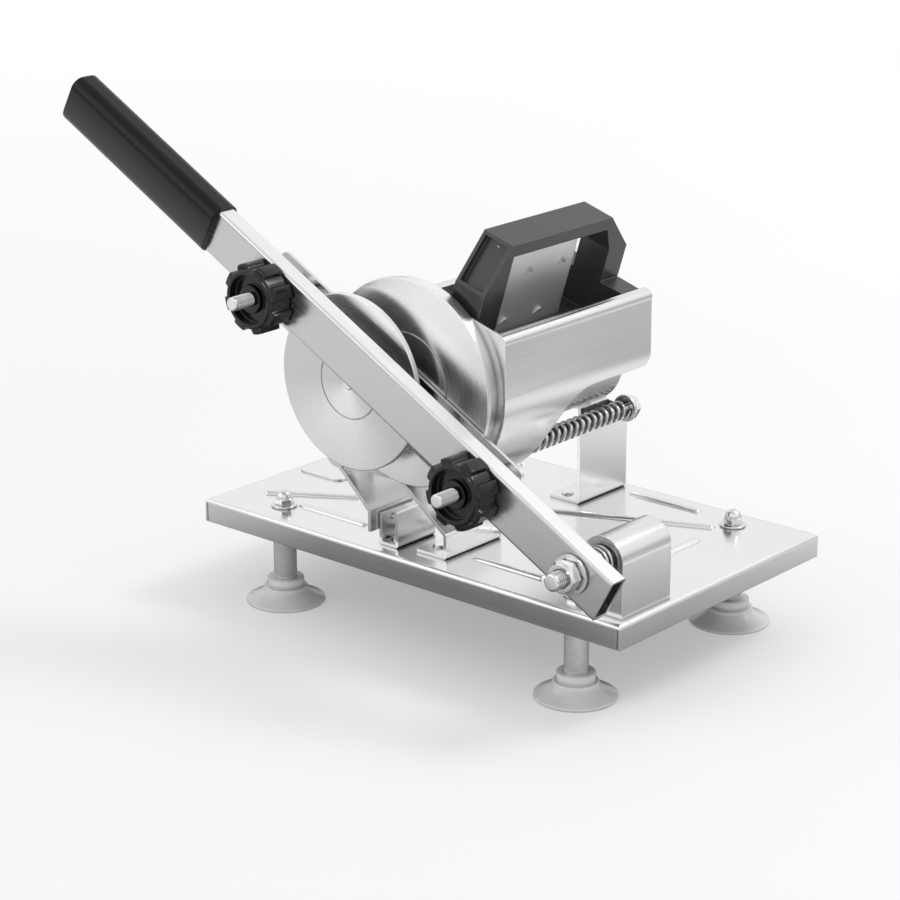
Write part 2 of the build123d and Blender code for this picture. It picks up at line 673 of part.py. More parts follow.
def mouth_window():
    """The opening that the meat comes through: the trough's inside, as far up as the blade covers it."""
    return (TROUGH_SECTION * u_shape(TROUGH_INNER, TROUGH_WALL_RISE)) & below_blade()


RIM_RADIUS = MOUTH_RADIUS - MOUTH_RIM_STEP


def mouth_disc():
    """The round plate at the trough's mouth: a turned ring, a rim bent back and the meat window."""
    disc = bar(MOUTH_RADIUS, MOUTH_X, MOUTH_Z, MOUTH_FRONT, MOUTH_BACK)
    disc = chamfer(disc.edges().group_by(Axis.Y)[0], DISC_EDGE)
    groove = ring(
        MOUTH_GROOVE_RADIUS,
        MOUTH_GROOVE_RADIUS - GROOVE_WIDTH,
        MOUTH_X,
        MOUTH_Z,
        MOUTH_FRONT - OVERRUN,
        MOUTH_FRONT + GROOVE_DEPTH,
    )
    disc = disc + ring(RIM_RADIUS, RIM_RADIUS - MOUTH_RIM, MOUTH_X, MOUTH_Z, MOUTH_BACK, SHROUD_FRONT)
    return disc - groove - prism(mouth_window(), MOUTH_FRONT - OVERRUN, MOUTH_BACK + OVERRUN)


def meat_trough():
    """The open channel for the meat, with a lip on the left and a front plate that the nose passes."""
    lip = Pos(-TROUGH_RADIUS - TROUGH_LIP / 2, TROUGH_WALL_RISE - SHEET / 2) * Rectangle(TROUGH_LIP, SHEET)
    outside = u_shape(TROUGH_RADIUS, TROUGH_WALL_RISE)
    wall = TROUGH_SECTION * (outside - u_shape(TROUGH_INNER, TROUGH_WALL_RISE + OVERRUN) + lip)
    nose = wall & Pos(MOUTH_X, MOUTH_Z) * Circle(RIM_RADIUS - MOUTH_RIM - TOUCH_GAP)
    front = (TROUGH_SECTION * outside) - mouth_window()
    trough = prism(wall, SHROUD_FRONT, TROUGH_REAR) + prism(nose, MOUTH_BACK, SHROUD_FRONT)
    return trough + prism(front, SHROUD_FRONT, SHROUD_FRONT + SHEET)


def shroud_points():
    """Where the shroud's outside starts on the trough, meets its side, its round and its lower end."""
    roll = math.radians(TROUGH_ROLL)
    top = (
        TROUGH_X + TROUGH_RADIUS * math.cos(roll) + TROUGH_WALL_RISE * math.sin(roll),
        TROUGH_Z - TROUGH_RADIUS * math.sin(roll) + TROUGH_WALL_RISE * math.cos(roll),
    )
    turn = math.radians(SHROUD_TOP_ANGLE)
    round_start = on_circle(MOUTH_X, MOUTH_Z, SHROUD_RADIUS, SHROUD_TOP_ANGLE)
    side = (
        round_start[0] - SHROUD_SIDE_RISE * math.sin(turn),
        round_start[1] + SHROUD_SIDE_RISE * math.cos(turn),
    )
    chord = Vector(side[0] - top[0], side[1] - top[1])
    outward = Vector(-chord.Y, chord.X).normalized() * SHROUD_LIP_BULGE
    bulge = ((side[0] + top[0]) / 2 + outward.X, (side[1] + top[1]) / 2 + outward.Y)
    return top, bulge, side, round_start, on_circle(MOUTH_X, MOUTH_Z, SHROUD_RADIUS, SHROUD_END_ANGLE)


def shroud_filled():
    """All that lies between the mouth's centre and the shroud's outside, less the trough."""
    top, bulge, side, round_start, end = shroud_points()
    middle = on_circle(MOUTH_X, MOUTH_Z, SHROUD_RADIUS, (SHROUD_TOP_ANGLE + SHROUD_END_ANGLE) / 2)
    outline = [
        Line((MOUTH_X, MOUTH_Z), end),
        ThreePointArc(end, middle, round_start),
        Line(round_start, side),
        ThreePointArc(side, bulge, top),
        Line(top, (MOUTH_X, MOUTH_Z)),
    ]
    return make_face(outline) - trough_outside()


def shroud_band():
    """The section of the bent sheet itself: the lip, the side and the round."""
    top, bulge, side, round_start, end = shroud_points()
    inner = SHROUD_RADIUS - SHEET
    turn = math.radians(SHROUD_TOP_ANGLE)
    inward = (-SHEET * math.cos(turn), -SHEET * math.sin(turn))
    side_in = (side[0] + inward[0], side[1] + inward[1])
    middle = (SHROUD_TOP_ANGLE + SHROUD_END_ANGLE) / 2
    end_in = on_circle(MOUTH_X, MOUTH_Z, inner, SHROUD_END_ANGLE)
    start_in = on_circle(MOUTH_X, MOUTH_Z, inner, SHROUD_TOP_ANGLE)
    outline = [
        ThreePointArc(end, on_circle(MOUTH_X, MOUTH_Z, SHROUD_RADIUS, middle), round_start),
        Line(round_start, side),
        ThreePointArc(side, bulge, top),
        Line(top, side_in),
        Line(side_in, start_in),
        ThreePointArc(start_in, on_circle(MOUTH_X, MOUTH_Z, inner, middle), end_in),
        Line(end_in, end),
    ]
    return make_face(outline) - trough_outside()


def shroud_reach():
    """How far back the shroud goes at each height, cut away below to show the adjuster, in Y and Z."""
    low = MOUTH_Z - SHROUD_RADIUS - OVERRUN
    high = TROUGH_Z + 2 * TROUGH_WALL_RISE
    front = SHROUD_FRONT - OVERRUN
    corner = (TROUGH_REAR, SHROUD_REAR_LOW)
    bend = (SHROUD_LEVEL_END, SHROUD_REAR_LOW)
    body = make_face([
        Polyline((front, low), (front, high), (TROUGH_REAR, high), corner, bend),
        ThreePointArc(bend, SHROUD_CUT_MIDDLE, (SHROUD_CUT_Y, SHROUD_CUT_LOW)),
        Polyline((SHROUD_CUT_Y, SHROUD_CUT_LOW), (SHROUD_CUT_Y, low), (front, low)),
    ])
    rounded = body.vertices().sort_by_distance((corner[0], corner[1], 0))[0]
    return fillet(rounded, SHROUD_CORNER)


def trough_shroud():
    """The outer skin of the trough with its front flange, rolled over the trough's right edge."""
    band = prism(shroud_band(), SHROUD_FRONT, TROUGH_REAR)
    flange = prism(shroud_filled(), SHROUD_FRONT, SHROUD_FRONT + SHEET)
    reach = extrude(Plane.YZ * shroud_reach(), BASE_LENGTH)
    return (band + flange) & reach


def spring_ear():
    """A lug under the trough that the adjuster screw turns in and the adjuster spring presses on."""
    lug = Pos(SCREW_X, SCREW_Z) * Circle(ADJUST_BOSS_RADIUS)
    rise = TROUGH_Z - SCREW_Z
    stem = Pos(SCREW_X - ADJUST_BOSS_RADIUS / 2, SCREW_Z + rise / 2) * Rectangle(ADJUST_BOSS_RADIUS, rise)
    section = lug + stem - trough_outside() - Pos(SCREW_X, SCREW_Z) * Circle(SCREW_RADIUS + RUNNING_FIT)
    largest = section.faces().sort_by(SortBy.AREA)[-1]
    return prism(largest, EAR_FRONT, EAR_FRONT + EAR_THICK)


def adjuster_spring():
    back = ADJUST_SPRING_REAR - TOUCH_GAP
    wire, turns = ADJUST_SPRING_WIRE, ADJUST_SPRING_TURNS
    return coil(ADJUST_SPRING_RADIUS, wire, turns, SCREW_X, SCREW_Z, EAR_FRONT + EAR_THICK, back)


def adjuster_screw():
    """The long screw, with the collar that bears on the ear and the hexagon that turns it."""
    washer_back = ADJUST_SPRING_REAR + ADJUST_WASHER
    nut_back = washer_back + ADJUST_NUT
    screw = bar(SCREW_RADIUS, SCREW_X, SCREW_Z, SCREW_FRONT, nut_back)
    tip = bar(SCREW_END_RADIUS, SCREW_X, SCREW_Z, nut_back, nut_back + SCREW_END)
    tip = chamfer(tip.edges().group_by(Axis.Y)[-1], THREAD_CHAMFER)
    collar_back = EAR_FRONT - TOUCH_GAP
    collar = bar(ADJUST_BOSS_RADIUS, SCREW_X, SCREW_Z, collar_back - COLLAR_LENGTH, collar_back)
    return screw + tip + collar


def adjuster_washer():
    back = ADJUST_SPRING_REAR + ADJUST_WASHER
    return ring(ADJUST_WASHER_RADIUS, SCREW_RADIUS, SCREW_X, SCREW_Z, ADJUST_SPRING_REAR, back)


def adjuster_nut():
    front = ADJUST_SPRING_REAR + ADJUST_WASHER
    nut = hex_bar(ADJUST_NUT_FLATS, SCREW_X, SCREW_Z, front, front + ADJUST_NUT)
    return nut - bar(SCREW_RADIUS, SCREW_X, SCREW_Z, front - OVERRUN, front + ADJUST_NUT + OVERRUN)


def gauge_disc():
    """The round plate that the cut face of the meat leans on."""
    disc = bar(GAUGE_RADIUS, GAUGE_X, GAUGE_Z, GAUGE_FRONT, GAUGE_BACK_FACE)
    disc = chamfer(disc.edges().group_by(Axis.Y)[0], DISC_EDGE)
    groove = ring(
        GAUGE_GROOVE_RADIUS,
        GAUGE_GROOVE_RADIUS - GROOVE_WIDTH,
        GAUGE_X,
        GAUGE_Z,
        GAUGE_FRONT - OVERRUN,
        GAUGE_FRONT + GROOVE_DEPTH,
    )
    front, back = GAUGE_FRONT - OVERRUN, GAUGE_BACK_FACE + OVERRUN
    return disc - groove - bar(GAUGE_SCREW_RADIUS, GAUGE_X, GAUGE_Z, front, back)


def gauge_screw():
    """The flat-headed screw at the centre of the gauge disc."""
    head = bar(GAUGE_SCREW_HEAD_RADIUS, GAUGE_X, GAUGE_Z, GAUGE_FRONT - GAUGE_SCREW_HEAD, GAUGE_FRONT)
    head = chamfer(head.edges().group_by(Axis.Y)[0], DISC_EDGE)
    return head + bar(GAUGE_SCREW_RADIUS, GAUGE_X, GAUGE_Z, GAUGE_FRONT, GAUGE_BACK_FACE + PLATE)


SLIDE_SLOPE = (SLIDE_BEND_Z - SLIDE_TOP_Z) / (SLIDE_BEND_X - SLIDE_TOP_X)


def slide_top(x):
    """The height of the slide's upper face above a place on its slope."""
    return SLIDE_TOP_Z + (x - SLIDE_TOP_X) * SLIDE_SLOPE + PLATE * math.hypot(1, SLIDE_SLOPE)


def gauge_slide():
    """The bent plate under the gauge disc, slotted to run on its guide, with a tab for the disc."""
    profile = [(SLIDE_TOP_X, SLIDE_TOP_Z), (SLIDE_BEND_X, SLIDE_BEND_Z), (SLIDE_BEND_X, SLIDE_FOOT_Z)]
    back = GAUGE_BACK_FACE + SLIDE_LENGTH
    slide = prism(bent_strip(profile, SLIDE_BEND_RADIUS, PLATE), GAUGE_BACK_FACE, back)
    half = GAUGE_TAB_WIDTH / 2
    root_x = SLIDE_TOP_X + half
    root = (root_x, slide_top(root_x) + half / 2)
    slant = Vector(GAUGE_X - root[0], GAUGE_Z - root[1])
    lean = math.degrees(math.atan2(slant.Y, slant.X))
    middle = Pos((GAUGE_X + root[0]) / 2, (GAUGE_Z + root[1]) / 2) * Rot(0, 0, lean)
    tab = middle * SlotCenterToCenter(slant.length, GAUGE_TAB_WIDTH)
    slide = slide + prism(tab, GAUGE_BACK_FACE, GAUGE_BACK_FACE + PLATE)
    slide = slide - bar(GAUGE_SCREW_RADIUS, GAUGE_X, GAUGE_Z, GAUGE_FRONT, GAUGE_BACK_FACE + OVERRUN)
    half_slot = GUIDE_SCREW_RADIUS + TOUCH_GAP
    slot = box(
        SLIDE_BEND_X - OVERRUN,
        SLIDE_FACE_X + OVERRUN / 2,
        GUIDE_SCREW_Y - GAUGE_BACK - half_slot,
        GUIDE_SCREW_Y + GAUGE_FORWARD + half_slot,
        GUIDE_SCREW_Z - half_slot,
        GUIDE_SCREW_Z + half_slot,
    )
    return slide - slot


def gauge_link():
    """The flat arm from the slide to the threaded boss on the adjuster screw."""
    arm = make_face(
        Polyline(
            (LINK_LEG_LEFT, slide_top(LINK_LEG_LEFT)),
            (LINK_LEG_RIGHT, slide_top(LINK_LEG_RIGHT)),
            (LINK_LEG_RIGHT, LINK_LOW),
            (SCREW_X, LINK_LOW),
            (SCREW_X, LINK_HIGH),
            (LINK_LEG_LEFT, LINK_HIGH),
            close=True,
        )
    )
    link = prism(arm, LINK_BACK - LINK_THICK, LINK_BACK)
    link = link + bar(ADJUST_BOSS_RADIUS, SCREW_X, SCREW_Z, BOSS_FRONT, BOSS_FRONT + BOSS_LENGTH)
    bore_back = BOSS_FRONT + BOSS_LENGTH + OVERRUN
    return link - bar(SCREW_RADIUS + RUNNING_FIT, SCREW_X, SCREW_Z, BOSS_FRONT - OVERRUN, bore_back)


def slide_guide():
    """A bent channel on the base that the gauge slide runs against."""
    profile = [
        (GUIDE_LEFT_X, GUIDE_HEIGHT),
        (GUIDE_LEFT_X, 0),
        (GUIDE_RIGHT_X, 0),
        (GUIDE_RIGHT_X, GUIDE_RIGHT_HEIGHT),
    ]
    channel = prism(bent_strip(profile, SUPPORT_BEND, PLATE), GUIDE_FRONT, GUIDE_FRONT + GUIDE_LENGTH)
    hole = Rot(0, 90, 0) * Cylinder(GUIDE_SCREW_RADIUS, 2 * OVERRUN)
    return drill_rivets(channel - Pos(GUIDE_LEFT_X, GUIDE_SCREW_Y, GUIDE_SCREW_Z) * hole)


def guide_screw():
    """The headed screw that keeps the slide against its guide."""
    head_end = SLIDE_BEND_X - TOUCH_GAP
    up = (Align.CENTER, Align.CENTER, Align.MIN)
    head = Cylinder(GUIDE_SCREW_HEAD_RADIUS, GUIDE_SCREW_HEAD, align=up)
    length = GUIDE_LEFT_X + PLATE + GUIDE_SCREW_HEAD / 2 - head_end
    screw = head + Pos(0, 0, GUIDE_SCREW_HEAD) * Cylinder(GUIDE_SCREW_RADIUS, length, align=up)
    return Pos(head_end - GUIDE_SCREW_HEAD, GUIDE_SCREW_Y, GUIDE_SCREW_Z) * Rot(0, 90, 0) * screw


RIVET_PLACES = [
    (REAR_FOOT_X + REAR_FOOT / 3, REAR_WEB_FRONT + REAR_FOOT / 3),
    (REAR_FOOT_X + REAR_FOOT / 3, REAR_WEB_BACK - REAR_FOOT / 3),
    (FRONT_FOOT_X + FRONT_FOOT / 3, MOUTH_BACK + FRONT_FOOT / 2),
    (FRONT_FOOT_X + FRONT_FOOT / 3, FRONT_WEB_BACK - FRONT_FOOT / 2),
    ((GUIDE_LEFT_X + GUIDE_RIGHT_X) / 2, GUIDE_FRONT + GUIDE_LENGTH / 4),
    ((GUIDE_LEFT_X + GUIDE_RIGHT_X) / 2, GUIDE_FRONT + GUIDE_LENGTH * 3 / 4),
]


def drill_rivets(plate):
    """The same plate with the rivet holes that fall on it."""
    for x, y in RIVET_PLACES:
        plate = plate - Pos(x, y, 0) * Cylinder(RIVET_RADIUS, 2 * OVERRUN)
    return plate


def base_rivets():
    """The rivets that hold the supports and the guide to the base, with a head on each side."""
    up = (Align.CENTER, Align.CENTER, Align.MIN)
    head = Cylinder(RIVET_HEAD_RADIUS, RIVET_HEAD, align=up)
    top = chamfer(head.edges().group_by(Axis.Z)[-1], RIVET_HEAD / 2)
    rivet = Pos(0, 0, -SHEET - RIVET_HEAD) * head
    rivet = rivet + Pos(0, 0, -SHEET) * Cylinder(RIVET_RADIUS, SHEET + PLATE, align=up)
    rivet = rivet + Pos(0, 0, PLATE) * top
    return Compound([Pos(x, y, 0) * rivet for x, y in RIVET_PLACES])


def rear_support():
    """A bent foot and web that carry the rear of the trough in a saddle."""
    top = TROUGH_Z - TROUGH_RADIUS + SUPPORT_BEND * 2
    profile = [(REAR_FOOT_X, 0), (REAR_WEB_X, 0), (REAR_WEB_X, top)]
    web = prism(bent_strip(profile, SUPPORT_BEND, PLATE), REAR_WEB_FRONT, REAR_WEB_BACK)
    side = make_face(
        Polyline(
            (REAR_WEB_FRONT, 0),
            (REAR_WEB_BACK, 0),
            (REAR_WEB_BACK, REAR_WEB_DROP),
            (TROUGH_REAR, top),
            (REAR_WEB_FRONT, top),
            close=True,
        )
    )
    web = web & extrude(Plane.YZ * side, BASE_LENGTH)
    around = Pos(TROUGH_X, TROUGH_Z) * (Circle(TROUGH_RADIUS + PLATE) - Circle(TROUGH_RADIUS))
    saddle = around & sector(TROUGH_X, TROUGH_Z, TROUGH_RADIUS, SADDLE_FROM, SADDLE_TO)
    support = web + prism(saddle, REAR_WEB_FRONT, TROUGH_REAR)
    return drill_rivets(support - prism(trough_outside(), REAR_WEB_FRONT - OVERRUN, TROUGH_REAR + OVERRUN))


def front_support():
    """A bent foot, web and sloping plate that carry the mouth disc at their front edge."""
    profile = [
        (FRONT_FOOT_X, 0),
        (FRONT_WEB_X, 0),
        (FRONT_WEB_X, FRONT_WEB_TOP),
        (FRONT_RISE_X, FRONT_RISE_Z),
    ]
    support = prism(bent_strip(profile, SUPPORT_BEND, PLATE), MOUTH_BACK, FRONT_WEB_BACK)
    outer, inner = RIM_RADIUS + TOUCH_GAP, RIM_RADIUS - MOUTH_RIM - TOUCH_GAP
    rim = ring(outer, inner, MOUTH_X, MOUTH_Z, MOUTH_BACK - OVERRUN, SHROUD_FRONT + TOUCH_GAP)
    return drill_rivets(support - rim)


def handle_outline():
    """The side view of the pusher's handle, in Y and in height above the trough's top."""
    front, back = HANDLE_START, HANDLE_START + HANDLE_LENGTH
    low = HANDLE_BASE_TOP - HANDLE_BASE
    return Polyline(
        (front, low),
        (front, HANDLE_FRONT_SHOULDER),
        (front + HANDLE_FRONT_CHAMFER, HANDLE_HEIGHT),
        (back - HANDLE_REAR_CHAMFER, HANDLE_HEIGHT),
        (back, HANDLE_REAR_SHOULDER),
        (back, low),
        close=True,
    )


def handle_window():
    """The finger opening of the handle, in Y and in height above the trough's top."""
    front = HANDLE_START + HANDLE_FRONT_LEG
    back = HANDLE_START + HANDLE_LENGTH - HANDLE_REAR_LEG
    top = HANDLE_HEIGHT - HANDLE_BAR
    return Polyline(
        (front, HANDLE_BASE_TOP),
        (front, top),
        (back - HANDLE_REAR_CHAMFER / 3, top),
        (back, HANDLE_REAR_SHOULDER),
        (back, HANDLE_BASE_TOP),
        close=True,
    )


def across(face, x0, x1):
    """A side view in Y and Z, carried across from x0 to x1."""
    return extrude(Plane.YZ.offset(x0) * face, x1 - x0)


HANDLE_LEFT = HANDLE_OFFSET - HANDLE_WIDTH / 2
HANDLE_RIGHT = HANDLE_OFFSET + HANDLE_WIDTH / 2
WEB_LEFT = HANDLE_OFFSET - WEB_THICK / 2
WEB_RIGHT = HANDLE_OFFSET + WEB_THICK / 2


def web_outline():
    """The side view of the upright plate that the handle is moulded round."""
    front = PUSHER_FRONT + WEB_THICK
    upright = HANDLE_START + HANDLE_FRONT_LEG - WEB_HELD
    top = HANDLE_HEIGHT - HANDLE_BAR + WEB_HELD
    low = HANDLE_BASE_TOP - HANDLE_BASE
    corners = [(front, WEB_LOW), (WEB_BACK, WEB_LOW), (WEB_BACK, top), (upright, top), (upright, low)]
    return Polyline(*corners, (front, low), close=True)


def tooth():
    """A pressed chevron standing on the XZ plane towards -Y, tall at its point and flush at its feet."""
    half, inside = TOOTH_WIDTH / 2, TOOTH_WIDTH / 2 - TOOTH_LEG
    point = TOOTH_HEIGHT - TOOTH_LEG
    corners = [(-half, 0), (-inside, 0), (0, point), (inside, 0), (half, 0), (0, TOOTH_HEIGHT)]
    chevron = make_face(Polyline(*corners, close=True))
    wedge = make_face(Polyline((0, 0), (-TOOTH_RISE, TOOTH_HEIGHT), (0, TOOTH_HEIGHT), close=True))
    return prism(chevron, -TOOTH_RISE, 0) & across(wedge, -TOOTH_WIDTH, TOOTH_WIDTH)


def pusher_plate():
    """The toothed steel plate: its front faces the mouth, and its web goes back and up into the handle."""
    face_top = TROUGH_WALL_RISE + HANDLE_BASE_TOP - HANDLE_BASE
    shape = u_shape(TROUGH_INNER - TOUCH_GAP, face_top)
    plate = prism(shape, PUSHER_FRONT, PUSHER_FRONT + WEB_THICK)
    plate = plate + Pos(0, 0, TROUGH_WALL_RISE) * across(make_face(web_outline()), WEB_LEFT, WEB_RIGHT)
    for y, z in TOOTH_PLACES:
        plate = plate + Pos(WEB_RIGHT, y, TROUGH_WALL_RISE + z) * Rot(0, 0, 90) * tooth()
    for row in range(FRONT_TOOTH_ROWS):
        for column in (-1, 0, 1):
            x, z = column * FRONT_TOOTH_SPACING, row * FRONT_TOOTH_SPACING
            plate = plate + Pos(x, PUSHER_FRONT, z) * tooth()
    return ON_TROUGH * plate


def pusher_handle():
    """The moulded handle: a loop with a hollow in its front slope, on a base that rides in the trough."""
    loop = across(make_face(handle_outline()) - make_face(handle_window()), HANDLE_LEFT, HANDLE_RIGHT)
    half = TROUGH_INNER - TOUCH_GAP
    low = HANDLE_BASE_TOP - HANDLE_BASE
    back = HANDLE_START + HANDLE_LENGTH
    base = box(-half, half, HANDLE_START, back, low, HANDLE_BASE_TOP)
    base = base + box(-half, half, back - HANDLE_REAR_LEG, back, low, HANDLE_BLOCK_TOP)
    slope = math.atan2(HANDLE_HEIGHT - HANDLE_FRONT_SHOULDER, HANDLE_FRONT_CHAMFER)
    length = math.hypot(HANDLE_HEIGHT - HANDLE_FRONT_SHOULDER, HANDLE_FRONT_CHAMFER)
    left, right = HANDLE_LEFT + RECESS_BORDER, HANDLE_RIGHT - RECESS_BORDER
    recess = box(left, right, RECESS_BORDER, length - RECESS_BORDER, -RECESS_DEPTH, OVERRUN)
    recess = Pos(0, HANDLE_START, HANDLE_FRONT_SHOULDER) * Rot(math.degrees(slope), 0, 0) * recess
    web = across(make_face(web_outline()), WEB_LEFT, WEB_RIGHT)
    return ON_TROUGH * Pos(0, 0, TROUGH_WALL_RISE) * (loop + base - recess - web)


def build_parts():
    """Every part by name, before the whole is moved to its origin."""
    parts = {"base_pan": base_pan()}
    for number, (x, y) in enumerate(LEG_PLACES, 1):
        parts[f"leg_{number}"] = leg(x, y)
        parts[f"suction_cup_{number}"] = suction_cup(x, y)
    parts["leg_studs"] = leg_studs()
    parts["dome_nuts"] = dome_nuts()
    parts["base_rivets"] = base_rivets()
    parts["pivot_bracket"] = pivot_bracket()
    parts["pivot_bolt"] = pivot_bolt()
    parts["pivot_washer"] = pivot_washer()
    parts["pivot_nut"] = pivot_nut()
    parts["pivot_spring"] = pivot_spring()
    parts["lever_tube"] = lever_tube()
    parts["lever_grip"] = lever_grip()
    parts["blade"] = blade()
    parts["blade_bolts"] = blade_bolts()
    parts["blade_sleeves"] = blade_sleeves()
    parts["knob_right"] = star_knob(BOLT_PLACES[0])
    parts["knob_left"] = star_knob(BOLT_PLACES[1])
    parts["mouth_disc"] = mouth_disc()
    parts["meat_trough"] = meat_trough()
    parts["trough_shroud"] = trough_shroud()
    parts["front_support"] = front_support()
    parts["rear_support"] = rear_support()
    parts["spring_ear"] = spring_ear()
    parts["adjuster_spring"] = adjuster_spring()
    parts["adjuster_screw"] = adjuster_screw()
    parts["adjuster_washer"] = adjuster_washer()
    parts["adjuster_nut"] = adjuster_nut()
    parts["gauge_disc"] = gauge_disc()
    parts["gauge_screw"] = gauge_screw()
    parts["gauge_slide"] = gauge_slide()
    parts["gauge_link"] = gauge_link()
    parts["slide_guide"] = slide_guide()
    parts["guide_screw"] = guide_screw()
    parts["pusher_plate"] = pusher_plate()
    parts["pusher_handle"] = pusher_handle()
    return parts


def main():
    parts = build_parts()
    boxes = [part.bounding_box() for part in parts.values()]
    low = [min(getattr(b.min, axis) for b in boxes) for axis in "XYZ"]
    high = [max(getattr(b.max, axis) for b in boxes) for axis in "XYZ"]
    shift = Pos(-(low[0] + high[0]) / 2, -(low[1] + high[1]) / 2, -low[2])
    print("moved by", shift.position, "overall", [round(b - a, 2) for a, b in zip(low, high)])
    os.makedirs("parts", exist_ok=True)
    for name, part in parts.items():
        export_step(shift * part, f"parts/{name}.step")


main()
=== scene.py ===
# %% [markdown]
# # A hand-operated meat slicer
# The slicer is a machine of folded and turned stainless steel: a pressed base on four suction feet, a
# tilted trough behind a round mouth disc, a second disc that sets the slice, and a blade on a pivoting
# lever. Its solids come from the CAD model and never move here. This lesson lights them, gives each
# metal its own finish, and makes again the small pieces that a close look shows best, such as threads,
# hexagons, knobs and rubber feet.

# %% Load the frame
import json
import math
import bpy
import numpy as np
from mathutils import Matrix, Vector


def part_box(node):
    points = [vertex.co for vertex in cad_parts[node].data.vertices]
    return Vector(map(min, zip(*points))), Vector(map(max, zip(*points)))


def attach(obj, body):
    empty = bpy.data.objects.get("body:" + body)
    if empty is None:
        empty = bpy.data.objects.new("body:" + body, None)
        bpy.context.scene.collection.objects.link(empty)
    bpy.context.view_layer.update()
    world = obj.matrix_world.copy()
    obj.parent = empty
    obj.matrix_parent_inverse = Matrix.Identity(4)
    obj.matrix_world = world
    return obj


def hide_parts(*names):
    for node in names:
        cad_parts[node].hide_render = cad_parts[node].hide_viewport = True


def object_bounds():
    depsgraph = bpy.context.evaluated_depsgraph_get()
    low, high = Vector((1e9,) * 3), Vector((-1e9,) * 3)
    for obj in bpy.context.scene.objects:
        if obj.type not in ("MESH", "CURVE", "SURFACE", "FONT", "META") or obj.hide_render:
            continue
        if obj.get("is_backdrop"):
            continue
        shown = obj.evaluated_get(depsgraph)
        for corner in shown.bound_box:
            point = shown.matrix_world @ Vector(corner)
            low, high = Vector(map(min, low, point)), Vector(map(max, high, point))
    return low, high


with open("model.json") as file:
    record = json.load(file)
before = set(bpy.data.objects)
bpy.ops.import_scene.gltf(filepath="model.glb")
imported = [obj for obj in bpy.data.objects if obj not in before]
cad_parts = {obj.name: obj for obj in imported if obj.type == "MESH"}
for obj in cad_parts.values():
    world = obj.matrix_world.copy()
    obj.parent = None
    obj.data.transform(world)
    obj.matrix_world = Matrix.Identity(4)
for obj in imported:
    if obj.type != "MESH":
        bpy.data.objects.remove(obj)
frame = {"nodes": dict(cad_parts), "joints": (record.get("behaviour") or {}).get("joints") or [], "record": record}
cad_low, cad_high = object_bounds()
nodes = frame["nodes"]
joints = {joint["name"]: joint for joint in frame["joints"]}

# %% [markdown]
# ## The camera
# The camera stands where the photographer stood: to the right of the lever and a little above it. Its
# place and lens were fitted to the corners of the base, so the edges converge as they do in the picture.
# A long lens keeps the base's sides nearly parallel. Two angles are enough to aim it: a turn round the
# object and a tilt down.

# %% Place the camera
CAMERA_PLACE = Vector((0.98204, -1.11895, 0.59100))
CAMERA_AZIMUTH = math.radians(40.80)
CAMERA_TILT = math.radians(18.38)
CAMERA_LENS = 107.56
SENSOR_WIDTH = 36.0
camera_data = bpy.data.cameras.new("photo_camera")
camera_data.lens = CAMERA_LENS
camera_data.sensor_width = SENSOR_WIDTH
camera = bpy.data.objects.new("photo_camera", camera_data)
camera.location = CAMERA_PLACE
camera.rotation_euler = (math.pi / 2 - CAMERA_TILT, 0.0, CAMERA_AZIMUTH)
bpy.context.scene.collection.objects.link(camera)
bpy.context.scene.camera = camera
bpy.context.scene.view_settings.view_transform = "Standard"
print("camera at", tuple(round(value, 3) for value in CAMERA_PLACE))

# %% [markdown]
# ## Small helpers for node graphs
# A material is a graph of nodes. Writing each link by hand hides the idea behind the typing, so a small
# class adds a node, sets its fields and links its inputs in one call. An input that is a number is set on
# the node's own socket, and an input that is another node's output is linked. The sky uses it too.

# %% A short way to write node graphs


class Graph:
    """The node tree of a material or world. node() adds a node, with its settings and its inputs by name."""

    def __init__(self, holder, shader):
        holder.use_nodes = True
        self.tree = holder.node_tree
        self.shader = self.tree.nodes[shader]

    def node(self, kind, inputs=None, **settings):
        made = self.tree.nodes.new("ShaderNode" + kind)
        for field, value in settings.items():
            setattr(made, field, value)
        self.feed(made, inputs or {})
        return made

    def feed(self, node, inputs):
        for key, value in inputs.items():
            if isinstance(value, bpy.types.NodeSocket):
                self.tree.links.new(value, node.inputs[key])
            else:
                node.inputs[key].default_value = value

    def math(self, operation, first, second):
        return self.node("Math", {0: first, 1: second}, operation=operation).outputs[0]

    def spread(self, value, low, high, to_low, to_high):
        """A value carried from one range to another, held at both ends."""
        ends = {"Value": value, "From Min": low, "From Max": high, "To Min": to_low, "To Max": to_high}
        return self.node("MapRange", ends).outputs[0]

    def mix(self, share, first, second):
        """Two colours mixed by a share."""
        made = self.node("Mix", data_type="RGBA")
        self.feed(made, {0: share, 6: first, 7: second})
        return made.outputs[2]

    def ramp(self, value, stops):
        """Greys along a line, given as (place, tone)."""
        made = self.node("ValToRGB", {0: value})
        marks = made.color_ramp.elements
        marks[0].position, marks[0].color = stops[0][0], grey(stops[0][1])
        marks[1].position, marks[1].color = stops[-1][0], grey(stops[-1][1])
        for place, tone in stops[1:-1]:
            marks.new(place).color = grey(tone)
        return made.outputs[0]


def grey(tone):
    return (tone, tone, tone, 1.0)


def finish_graph(name):
    """A new material's graph."""
    material = bpy.data.materials.new(name)
    return material, Graph(material, "Principled BSDF")


print("helpers ready")
